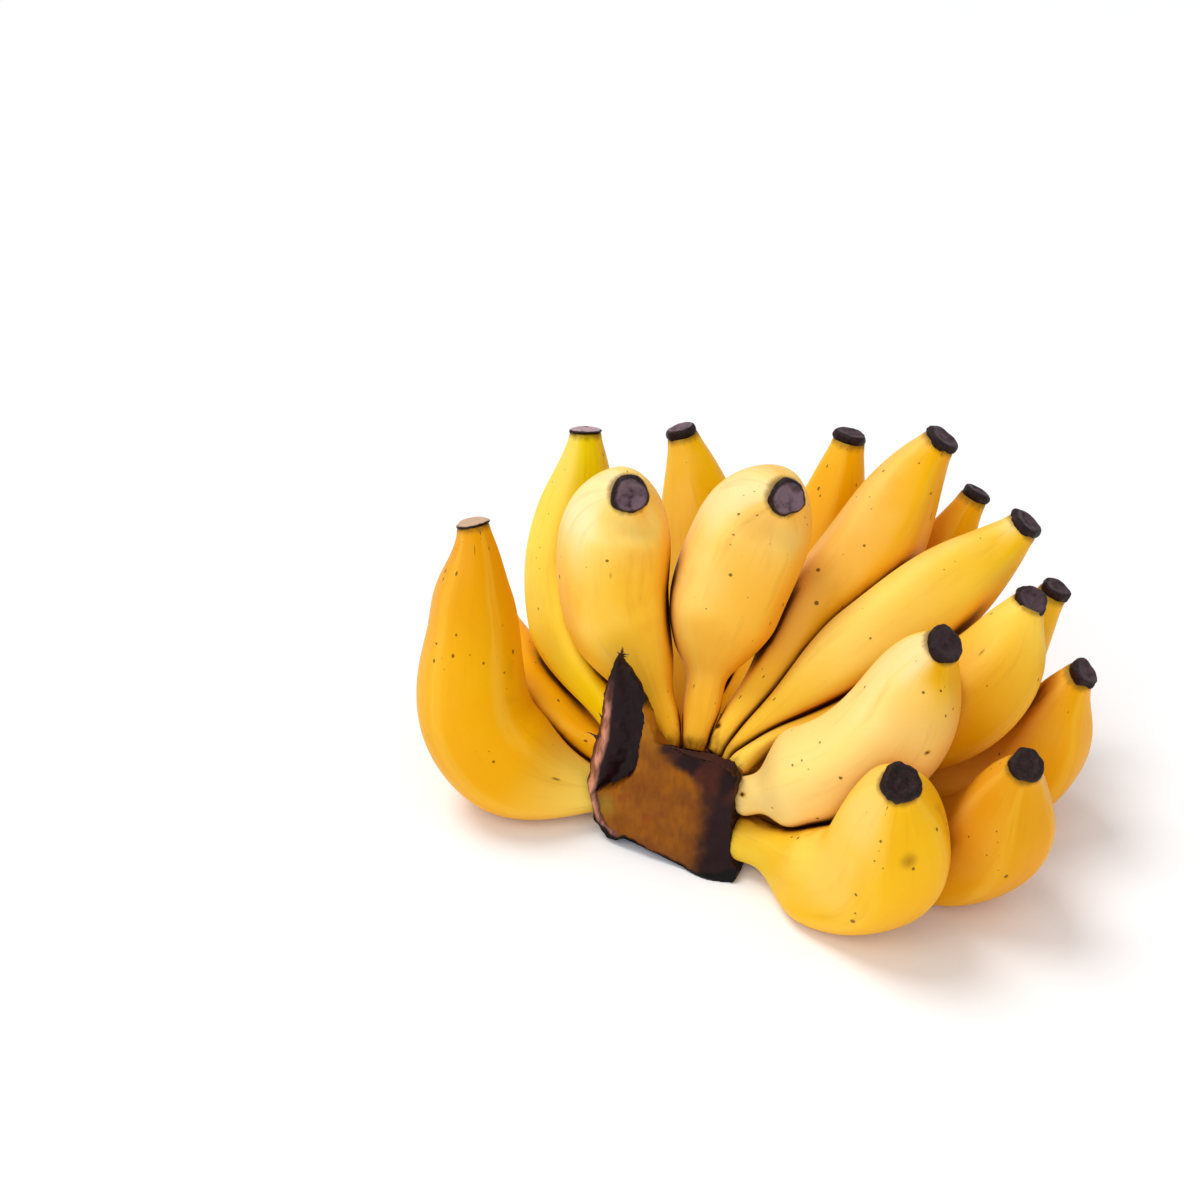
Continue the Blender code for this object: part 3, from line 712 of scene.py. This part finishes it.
def flower_end(name, fruit, seed):
    line = raised(name, centreline(fruit, RINGS)[0])
    across, upward = (axes[-1] for axes in frames(line))
    outward = np.cross(across, upward)
    draw = np.random.default_rng(seed)
    angles = np.arange(BUTTON_SIDES) * 2.0 * np.pi / BUTTON_SIDES
    corners = np.arange(len(BUTTON_OUTLINE))
    steps = np.linspace(0, len(BUTTON_OUTLINE) - 1, (len(BUTTON_OUTLINE) - 1) * BUTTON_STEPS + 1)
    heights = np.interp(steps, corners, [h for h, _ in BUTTON_OUTLINE])
    spread = np.interp(steps, corners, [r for _, r in BUTTON_OUTLINE])
    tall = BUTTON_HEIGHT.get(name, 1.0)
    lobes = 1.0 + 0.05 * np.cos(3 * angles + draw.uniform(0, 6)) + 0.025 * np.cos(5 * angles + draw.uniform(0, 6))
    tilt = draw.uniform(-0.05, 0.05, size=2)
    rings = []
    wide = FLOWER_SIZE.get(name, 0.9)
    for height, radius in zip(heights, spread):
        reach = radius * wide * lobes
        flat = np.cos(angles)[:, None] * across + np.sin(angles)[:, None] * upward
        lift = height * tall + reach * (tilt[0] * np.cos(angles) + tilt[1] * np.sin(angles)) * (height > 1.0)
        rings.append(line[-1] + flat * reach[:, None] + outward * lift[:, None])
    rings = np.array(rings)
    base = rings.reshape(-1, 3)
    size = (spread[:, None] * np.ones(BUTTON_SIDES)).reshape(-1)
    rough = ripple(base, 3.4, seed + 7) * 0.20 + ripple(base, 1.3, seed + 8) * 0.05
    wrinkle = np.cos(np.tile(angles, len(heights)) * 17 + 2.0 * ripple(base, 5.0, seed + 9)) * 0.03
    away = base - (line[-1] + outward * 2.0)
    away /= np.linalg.norm(away, axis=1)[:, None]
    amount = (rough + wrinkle * np.clip(size / 5.0, 0, 1)) * np.clip(size / 2.0, 0.2, 1.0)
    rings = (base + away * amount[:, None]).reshape(rings.shape)
    inside = np.clip((DUST_EDGE.get(name, 5.8) - spread) / 0.8, 0.0, 1.0) * (heights > 1.9)
    local = np.stack(
        [
            np.outer(spread, np.cos(angles)),
            np.outer(spread, np.sin(angles)),
            np.outer(heights, np.ones(BUTTON_SIDES)),
        ],
        axis=2,
    )
    attributes = {
        "top": np.broadcast_to(inside[:, None], (len(spread), BUTTON_SIDES)),
        "skin": (local + seed * 3.0) * METRES,
    }
    made = grid_object(f"flower_base_{name}", rings, attributes)
    grey, dust = BUTTON_GREY.get(name, 0.4), PALE_DUST.get(name, DUST)
    made.data.materials.append(flower_end_material(name, grey, dust))
    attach(made, "root")
    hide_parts(f"flower_end_{name}")
    return made


def make_fruits():
    fields = {}
    for name, fruit in FRUITS.items():
        fields[name] = (centreline(fruit, FIELD_RINGS)[0], radii(name, fruit, FIELD_RINGS))
    shapes = {}
    for seed, (name, fruit) in enumerate(FRUITS.items(), start=1):
        shapes[name] = fruit_rings(name, fruit, fields, seed)
    trees = {name: BVHTree.FromPolygons(rings.reshape(-1, 3), quads(0)) for name, (rings, _) in shapes.items()}
    skins = np.concatenate([rings.reshape(-1, 3) for rings, _ in shapes.values()])
    faces = [face for k in range(len(shapes)) for face in quads(k * RINGS * SIDES)]
    everything = BVHTree.FromPolygons(skins, faces)
    for seed, (name, fruit) in enumerate(FRUITS.items(), start=1):
        points, attributes = shapes[name]
        attributes["gap"] = gap_to_others(name, shapes, trees)
        attributes["shade"] = shade(points, everything)
        fruit_object(name, points, attributes, seed)
        flower_end(name, fruit, seed)


# The crown, in its cut face's own terms: across to the right, up, and back from the face
FACE_MIDDLE = np.array([1.0, -2.5])
FACE_ANGLE = -28.0
FACE_LEAN = 0.17
CROWN_VOXEL = 0.5
CROWN_SIDES = 96
PLAN_POWER = 0.72
# Height, width left and right, depth back and how far the ring falls towards the back
BLOCK_LEVELS = [
    (0.0, 21.5, 24.5, 28.0, 0.0),
    (1.0, 23.0, 25.4, 29.5, 0.0),
    (4.5, 26.0, 24.8, 30.5, 0.0),
    (8.0, 28.5, 22.0, 30.5, 0.0),
    (18.0, 31.0, 21.2, 30.5, 0.0),
    (32.0, 31.0, 20.8, 27.0, 7.0),
    (39.0, 29.5, 20.2, 23.0, 11.0),
    (41.6, 27.5, 19.0, 21.0, 12.0),
    (43.0, 22.0, 13.0, 16.0, 12.0),
    (43.0, 10.0, 5.0, 8.0, 9.0),
]
# The horn's height, its left and right edges across the face, and how thick it is
HORN_LEVELS = [
    (6.0, -28.0, -10.0, 15.0),
    (16.0, -32.0, -8.0, 15.0),
    (28.0, -32.8, -6.0, 14.5),
    (38.0, -31.6, -3.6, 13.0),
    (43.1, -30.8, -7.8, 11.5),
    (49.4, -29.7, -11.5, 10.0),
    (55.0, -28.6, -15.1, 8.2),
    (62.2, -26.8, -19.6, 5.4),
    (67.5, -25.4, -22.4, 2.6),
    (71.0, -24.3, -23.9, 0.8),
]
# Where the strip of outer skin on the left ends, and where the hollow beside it ends on the
# right, by height
STRIP_EDGE = [
    (1, -17.0), (5.2, -19.0), (6.5, -22.4), (11, -26.0), (18, -28.3), (27.5, -27.3), (38.8, -24.8),
    (52.4, -25.0), (63.5, -24.7), (71, -24.3),
]
HOLLOW_RIGHT = [
    (17.5, -28.4), (19.3, -25.0), (21.8, -20.6), (26.0, -17.0), (29.5, -14.3), (36, -13.4), (44.5, -13.2),
    (49, -12.6), (54, -14.2), (60, -17.4), (64, -20.0), (71, -23.6),
]
HOLLOW_DEPTH = 4.2
# Where the orange cut ends and the dark skin on its right begins, by height
BAND_LEFT = [(0, 10.0), (13, 11.2), (25, 11.2), (31.5, 9.6), (34.6, 5.5), (36, 1.0), (38, -3.0), (44, -8.0)]
# How high the face's lower edge is and how high the black on it reaches, from left to right
FOOT = [
    (-34, 8.0), (-29, 8.0), (-25.5, 4.2), (-22, 1.4), (-18.5, 2.0), (-15.5, 4.4), (-6, 3.4), (3, 1.8),
    (12, 0.3), (26, 0.0),
]
FOOT_TOP = [
    (-34, 9.2), (-29, 9.4), (-25.5, 7.0), (-22, 4.4), (-18.5, 3.8), (-15.5, 5.4), (-6, 4.5), (3, 3.0),
    (12, 2.0), (17, 3.2), (26, 5.4),
]
FOOT_DEPTH = 16.0
# The lower right corner comes forward by this much
TOE = 2.8


def crown_axes():
    angle = np.radians(FACE_ANGLE)
    right = np.array([np.cos(angle), np.sin(angle)])
    return right, np.array([-right[1], right[0]])


def from_face(across, up, inward):
    right, back = crown_axes()
    plan = FACE_MIDDLE + across[:, None] * right + (inward + FACE_LEAN * up)[:, None] * back
    return np.column_stack([plan, up])


def to_face(points):
    right, back = crown_axes()
    plan = points[:, :2] - FACE_MIDDLE
    return plan @ right, points[:, 2], plan @ back - FACE_LEAN * points[:, 2]


def read_off(line, at):
    places, values = zip(*line)
    return np.interp(at, places, values)


def block_rings():
    turn = np.arange(CROWN_SIDES) * 2.0 * np.pi / CROWN_SIDES
    plan = np.column_stack([np.cos(turn), np.sin(turn)])
    plan = np.sign(plan) * np.abs(plan) ** PLAN_POWER
    behind = np.clip(plan[:, 1], 0.0, None)
    before = np.clip(plan[:, 1], None, 0.0)
    rings = []
    for up, left, right, back, fall in BLOCK_LEVELS:
        across = np.where(plan[:, 0] < 0.0, left, right) * plan[:, 0]
        # The dark band right of the cut turns away a little
        turned = np.clip(across - read_off(BAND_LEFT, up), 0.0, None) * 0.25 * (before < -0.01)
        rings.append(from_face(across, up - fall * behind, back * behind + before + turned))
    return rings


def horn_rings():
    turn = np.arange(CROWN_SIDES) * 2.0 * np.pi / CROWN_SIDES
    rings = []
    for up, left, right, thick in HORN_LEVELS:
        across = (left + right) / 2.0 + (right - left) / 2.0 * np.cos(turn)
        inward = np.where(np.sin(turn) > 0.0, thick, 1.2) * np.sin(turn)
        rings.append(from_face(across, np.full(CROWN_SIDES, up), inward))
    return rings


def remeshed(rings_list, voxel):
    """Several closed shapes, each a list of rings, melted into one even mesh."""
    verts, faces = [], []
    for rings in rings_list:
        sides, first = len(rings[0]), len(verts)
        verts += [tuple(p) for ring in rings for p in ring]
        for k in range(len(rings) - 1):
            for i in range(sides):
                j = (i + 1) % sides
                a, b = first + k * sides, first + (k + 1) * sides
                faces.append((a + i, a + j, b + j, b + i))
        faces.append(tuple(first + i for i in reversed(range(sides))))
        faces.append(tuple(first + (len(rings) - 1) * sides + i for i in range(sides)))
    mesh = bpy.data.meshes.new("melting")
    mesh.from_pydata(verts, [], faces)
    rough = bpy.data.objects.new("melting", mesh)
    bpy.context.scene.collection.objects.link(rough)
    melt = rough.modifiers.new("melt", "REMESH")
    melt.mode = "VOXEL"
    melt.voxel_size = voxel
    graph = bpy.context.evaluated_depsgraph_get()
    done = bpy.data.meshes.new_from_object(rough.evaluated_get(graph))
    bpy.data.objects.remove(rough)
    points = np.empty(len(done.vertices) * 3)
    done.vertices.foreach_get("co", points)
    return done, points.reshape(-1, 3)


def blend_colour(colour, share, towards):
    return colour * (1.0 - share[:, None]) + np.array(srgb(towards)) * share[:, None]


def plain(points, colour):
    return np.tile(np.array(srgb(colour)), (len(points), 1))


def crown_paint(across, up, inward, points):
    """The crown's colours and how glossy it is, from where a point lies on its face."""
    wander = ripple(points, 9.0, 41) * 0.7 + ripple(points, 3.0, 42) * 0.3
    mottle = ripple(points, 13.0, 43) * 0.6 + ripple(points, 4.5, 44) * 0.25
    streaks = ripple(points * (1.0, 1.0, 0.22), 1.9, 47)
    front = 1.0 - smooth_step((inward - 6.5) / 2.0)

    # The back and sides: dry, brown and olive
    colour = plain(points, (0.50, 0.37, 0.12))
    colour = blend_colour(colour, smooth_step(mottle * 0.8 + 0.5) * 0.8, (0.32, 0.18, 0.07))

    # The cut: orange-brown, lighter on the horn, darker to the right, olive at the lower left
    face = plain(points, (0.60, 0.345, 0.01))
    face = blend_colour(face, smooth_step(mottle * 0.9 + 0.4) * 0.7, (0.49, 0.26, 0.0))
    face = blend_colour(face, smooth_step(ripple(points, 7.0, 45) - 0.5) * 0.5, (0.54, 0.23, 0.03))
    face = blend_colour(face, smooth_step((up - 36.0) / 16.0) * 0.75, (0.72, 0.47, 0.10))
    face = blend_colour(face, smooth_step((across + wander * 2.0) / 14.0) * 0.6, (0.38, 0.20, 0.0))
    olive = np.hypot((across + 23.5) / 4.0, (up - 14.5) / 4.5) + wander * 0.15
    face = blend_colour(face, smooth_step(1.3 - olive) * 0.75, (0.60, 0.46, 0.12))
    face = blend_colour(face, smooth_step((9.0 + wander - up) / 7.0) * 0.4, (0.38, 0.20, 0.08))
    colour = colour * (1.0 - front[:, None]) + face * front[:, None]

    # The dark skin right of the cut and over its top, with browner patches high up
    band = smooth_step((across - read_off(BAND_LEFT, up) + wander * 1.2 + 2.5) / 7.0)
    dark = plain(points, (0.14, 0.055, 0.06))
    patch = smooth_step(ripple(points, 8.0, 46) * 0.7 + 0.4) * smooth_step((up - 26.0) / 8.0)
    dark = blend_colour(dark, patch * 0.6, (0.36, 0.17, 0.10))
    side = band * (1.0 - smooth_step((inward - 9.0) / 3.0))
    colour = colour * (1.0 - side[:, None]) + dark * side[:, None]
    top = smooth_step((up - 40.2 + wander * 0.6) / 1.5) * smooth_step((across + 6.0) / 3.0)
    colour = blend_colour(colour, top * 0.75, (0.22, 0.10, 0.08))

    # The strip of outer skin on the left, pinkish with darker streaks, and its torn dark edge
    edge = read_off(STRIP_EDGE, up) + wander * 0.3
    strip = smooth_step((edge + 1.1 - across) / 1.0) * smooth_step((up - 1.0) / 2.0)
    pink = plain(points, (0.84, 0.58, 0.47))
    lengthways = ripple(points * (1.0, 1.0, 0.09), 1.8, 49)
    pink = blend_colour(pink, smooth_step(lengthways * 0.9 + 0.35) * 0.8, (0.50, 0.28, 0.22))
    pink = blend_colour(pink, smooth_step((edge - 2.2 - across) / 1.8) * 0.85, (0.24, 0.11, 0.10))
    pink = blend_colour(pink, smooth_step((across - edge + 1.3) / 1.3) * 0.6, (0.30, 0.16, 0.14))
    pink = blend_colour(pink, smooth_step((up - 46.0) / 14.0) * 0.85, (0.26, 0.13, 0.13))
    pink = blend_colour(pink, smooth_step((14.0 - up) / 10.0) * 0.7, (0.40, 0.25, 0.22))
    colour = colour * (1.0 - strip[:, None]) + pink * strip[:, None]
    line = np.exp(-(((across - edge - 0.6) / 0.5) ** 2)) * (up < 19.0) * smooth_step((up - 5.0) / 2.0)
    colour = blend_colour(colour, line * 0.8 * front, (0.16, 0.08, 0.06))
    outline = read_off([(height, left) for height, left, _, _ in HORN_LEVELS], up)
    torn = smooth_step((outline + 1.3 + streaks * 0.6 - across) / 0.8) * smooth_step((up - 8.0) / 6.0)
    colour = blend_colour(colour, torn * 0.9, (0.12, 0.055, 0.055))

    # The hollow is painted near black with a few paler streaks: partly the cut's own dark colour and partly
    # painted shade
    hollow = hollow_share(across, up, 0.3 * wander) * front
    inside = plain(points, (0.11, 0.03, 0.055))
    inside = blend_colour(inside, smooth_step(streaks * 0.6 - 0.1) * 0.3, (0.27, 0.13, 0.17))
    colour = colour * (1.0 - hollow[:, None]) + inside * hollow[:, None]
    colour = blend_colour(colour, smooth_step((up - 58.0) / 5.0) * 0.9, (0.13, 0.06, 0.06))
    foot = smooth_step((read_off(FOOT_TOP, across) + wander * 0.5 - up) / 0.9)
    colour = blend_colour(colour, foot, (0.035, 0.025, 0.025))
    return colour, np.clip(0.15 * hollow + 0.05 * front, 0.0, 1.0)


def hollow_share(across, up, wander):
    """1 in the hollow of the face and 0 outside it, with a crisp edge on its right."""
    left = read_off(STRIP_EDGE, up) + wander
    right = read_off(HOLLOW_RIGHT, up) + wander
    inside = smooth_step((across - left + 0.3) / 0.9) * smooth_step((right - across) / 0.6)
    return inside * smooth_step((up - 17.5) / 1.2)


def crown_material():
    """Cut and dried stalk: painted by place, with fibres and fine wrinkles."""
    nodes = Nodes("crown_dry")
    place = nodes.add("ShaderNodeTexCoord").outputs["Object"]
    paint = nodes.attribute("paint", "Vector")
    gloss = nodes.attribute("gloss")
    fibre = nodes.noise(nodes.scaled(place, (1.0, 1.0, 0.3)), 700.0, 4.0, 0.65)
    grain = nodes.noise(place, 1500.0, 3.0, 0.6)
    deeper = nodes.mix(nodes.ramp(fibre, 0.3, 0.6), (0.92, 0.91, 0.90), (1.0, 1.0, 1.0))
    colour = nodes.mix(1.0, paint, deeper, "MULTIPLY")
    nodes.link(colour, nodes.shader.inputs["Base Color"])
    rough = nodes.maths("SUBTRACT", nodes.maths("MULTIPLY_ADD", grain, 0.2), gloss)
    rough.node.inputs[0].links[0].from_node.inputs[2].default_value = 0.5
    nodes.link(rough, nodes.shader.inputs["Roughness"])
    nodes.shader.inputs["Specular IOR Level"].default_value = 0.15
    normal = nodes.bump(fibre, 0.18, 0.0003)
    nodes.link(nodes.bump(grain, 0.3, 0.0002, normal), nodes.shader.inputs["Normal"])
    return nodes.material


def make_crown():
    mesh, points = remeshed([block_rings(), horn_rings()], CROWN_VOXEL)
    across, up, inward = to_face(points)
    thick = read_off([(h, t) for h, _, _, t in HORN_LEVELS], up)
    span = read_off(HOLLOW_RIGHT, up) - read_off(STRIP_EDGE, up)
    part = np.clip((across - read_off(STRIP_EDGE, up)) / np.maximum(span, 0.5), 0.0, 1.0)
    deep = np.minimum(HOLLOW_DEPTH, 0.62 * thick) * smooth_step(part * 1.6)
    front = 1.0 - smooth_step((inward - 1.0) / np.maximum(thick - 2.0, 0.5))
    moved = deep * hollow_share(across, up, 0.0) * front
    roughness = ripple(points, 12.0, 31) * 0.45 + ripple(points, 4.5, 32) * 0.14
    roughness += ripple(points * (1.0, 1.0, 0.4), 1.6, 33) * 0.05
    # The strip of skin stands proud of the cut, and its outer edge curls back
    moved -= TOE * smooth_step((across - 6.0) / 12.0) * smooth_step((6.5 - up) / 5.0)
    edge = read_off(STRIP_EDGE, up)
    beyond = np.clip(edge - across, 0.0, None)
    roughness += (beyond * 0.16 * beyond - 0.9 * smooth_step(beyond / 1.5)) * smooth_step((up - 6.0) / 8.0)
    roughness += ripple(points * (1.0, 1.0, 0.2), 1.9, 47) * 0.16 * smooth_step(beyond / 1.0)
    moved += roughness * smooth_step(up / 2.0)
    across = across + ripple(points, 4.0, 34) * 0.25 * smooth_step(up / 2.0)
    shaped = from_face(across, up, inward + moved)
    lift = read_off(FOOT, across) * (1.0 - smooth_step(inward / FOOT_DEPTH))
    shaped[:, 2] = np.maximum(shaped[:, 2], lift)
    colour, gloss = crown_paint(across, up, inward, points)
    mesh.vertices.foreach_set("co", ((shaped - ORIGIN) * METRES).astype(np.float32).ravel())
    layer = mesh.attributes.new("paint", "FLOAT_VECTOR", "POINT")
    layer.data.foreach_set("vector", colour.astype(np.float32).ravel())
    layer = mesh.attributes.new("gloss", "FLOAT", "POINT")
    layer.data.foreach_set("value", gloss.astype(np.float32))
    mesh.update()
    mesh.shade_smooth()
    crown = bpy.data.objects.new("cut_crown", mesh)
    crown.data.materials.clear()
    crown.data.materials.append(crown_material())
    bpy.context.scene.collection.objects.link(crown)
    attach(crown, "root")
    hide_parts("crown")


# Torn fibres along the horn's left edge and at its tip: where each starts, across and up,
# which way it points and how long it is
FIBRES = [
    (-30.4, 36.6, (-0.9, 0.35), 4.6), (-30.2, 35.8, (-0.8, 0.1), 3.2), (-29.4, 44.5, (-0.7, 0.6), 2.2),
    (-28.4, 50.0, (-0.6, 0.7), 2.0), (-27.4, 55.5, (-0.7, 0.6), 2.0), (-26.3, 60.5, (-0.6, 0.7), 1.8),
    (-25.5, 64.0, (-0.6, 0.8), 1.8), (-24.3, 70.3, (0.1, 1.0), 2.6), (-23.9, 69.6, (0.75, 0.5), 2.8),
    (-23.6, 69.0, (0.9, 0.1), 2.0), (-24.9, 69.0, (-0.5, 0.85), 2.0), (-24.1, 70.8, (-0.2, 1.0), 1.7),
]
FIBRE_SIDES = 6
FIBRE_STEPS = 7


def make_fibres():
    verts, faces = [], []
    draw = np.random.default_rng(5)
    turn = np.arange(FIBRE_SIDES) * 2.0 * np.pi / FIBRE_SIDES
    for across, up, heading, long in FIBRES:
        heading = np.array(heading) / np.linalg.norm(heading)
        bend = draw.uniform(-0.35, 0.35)
        first = len(verts)
        for k in range(FIBRE_STEPS):
            t = k / (FIBRE_STEPS - 1)
            way = heading * (t * long - 0.6) + np.array([-heading[1], heading[0]]) * bend * long * t * t
            thick = 0.42 * (1.0 - t) + 0.05
            ring_across = across + way[0] + np.cos(turn) * thick * -heading[1]
            ring_up = up + way[1] + np.cos(turn) * thick * heading[0]
            inward = 2.0 + np.sin(turn) * thick + 0.5 * t * long * draw.uniform(-0.2, 0.2)
            ring = from_face(ring_across, ring_up, inward)
            verts += [tuple((point - ORIGIN) * METRES) for point in ring]
        for k in range(FIBRE_STEPS - 1):
            for i in range(FIBRE_SIDES):
                a, b = first + k * FIBRE_SIDES, first + (k + 1) * FIBRE_SIDES
                j = (i + 1) % FIBRE_SIDES
                faces.append((a + i, a + j, b + j, b + i))
        faces.append(tuple(first + (FIBRE_STEPS - 1) * FIBRE_SIDES + i for i in range(FIBRE_SIDES)))
        faces.append(tuple(first + i for i in reversed(range(FIBRE_SIDES))))
    mesh = bpy.data.meshes.new("crown_fibres")
    mesh.from_pydata(verts, [], faces)
    mesh.shade_smooth()
    nodes = Nodes("fibre")
    place = nodes.add("ShaderNodeTexCoord").outputs["Object"]
    tone = nodes.ramp(nodes.noise(place, 900.0, 2.0), 0.35, 0.65)
    nodes.link(nodes.mix(tone, (0.12, 0.06, 0.05), (0.26, 0.14, 0.11)), nodes.shader.inputs["Base Color"])
    nodes.shader.inputs["Roughness"].default_value = 0.7
    mesh.materials.append(nodes.material)
    fibres = bpy.data.objects.new("crown_fibres", mesh)
    bpy.context.scene.collection.objects.link(fibres)
    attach(fibres, "root")


def make_floor():
    mesh = bpy.data.meshes.new("floor")
    reach = 6.0
    corners = [(-reach, -reach, 0.0), (reach, -reach, 0.0), (reach, reach, 0.0), (-reach, reach, 0.0)]
    mesh.from_pydata(corners, [], [(0, 1, 2, 3)])
    floor = bpy.data.objects.new("floor", mesh)
    bpy.context.scene.collection.objects.link(floor)
    nodes = Nodes("floor")
    place = nodes.add("ShaderNodeTexCoord").outputs["Object"]
    grain = nodes.noise(place, 30.0, 3.0)
    nodes.link(nodes.mix(grain, (0.975, 0.975, 0.975), (0.985, 0.985, 0.985)), nodes.shader.inputs["Base Color"])
    nodes.shader.inputs["Roughness"].default_value = 0.9
    nodes.shader.inputs["Specular IOR Level"].default_value = 0.0
    # The floor is given a faint blue glow, though it is no lamp; it takes the fruits' yellow out of their shadows,
    # and lit, the floor is white with it
    nodes.shader.inputs["Emission Color"].default_value = (*srgb((0.0, 0.35, 0.80)), 1.0)
    nodes.shader.inputs["Emission Strength"].default_value = 0.04
    mesh.materials.append(nodes.material)


def area_light(name, place, target, size, power, colour=(1.0, 1.0, 1.0)):
    light = bpy.data.lights.new(name, "AREA")
    light.size = size
    light.energy = power
    light.color = colour
    lamp = bpy.data.objects.new(name, light)
    lamp.location = place
    lamp.rotation_euler = (Vector(target) - Vector(place)).to_track_quat("-Z", "Y").to_euler()
    bpy.context.scene.collection.objects.link(lamp)


def make_lights():
    world = bpy.data.worlds.new("studio")
    bpy.context.scene.world = world
    world.use_nodes = True
    world.node_tree.nodes["Background"].inputs[0].default_value = (1.0, 1.0, 1.0, 1.0)
    world.node_tree.nodes["Background"].inputs[1].default_value = WORLD_STRENGTH
    key = bpy.data.lights.new("key", "SUN")
    key.energy = KEY_STRENGTH
    key.angle = np.radians(KEY_ANGLE)
    lamp = bpy.data.objects.new("key", key)
    lamp.rotation_euler = Vector(KEY_FROM).to_track_quat("Z", "Y").to_euler()
    bpy.context.scene.collection.objects.link(lamp)
    area_light("gleam", (-0.5, -0.45, 0.8), (0.0, 0.02, 0.05), 0.5, 1.6)
    area_light("fill", (0.15, -0.95, 0.28), (0.0, 0.02, 0.04), 0.9, 1.9)


def make_camera():
    camera = bpy.data.cameras.new("camera")
    camera.lens = CAMERA_LENS
    camera.sensor_width = SENSOR
    eye = bpy.data.objects.new("camera", camera)
    tilt = np.radians(CAMERA_ELEVATION)
    away = Vector((0.0, -np.cos(tilt), np.sin(tilt)))
    eye.location = CAMERA_TARGET + away * CAMERA_DISTANCE
    eye.rotation_euler = (-away).to_track_quat("-Z", "Y").to_euler()
    bpy.context.scene.collection.objects.link(eye)
    bpy.context.scene.camera = eye


bpy.context.scene.view_settings.view_transform = "Standard"
make_camera()
make_lights()
make_floor()
make_fruits()
make_crown()
make_fibres()
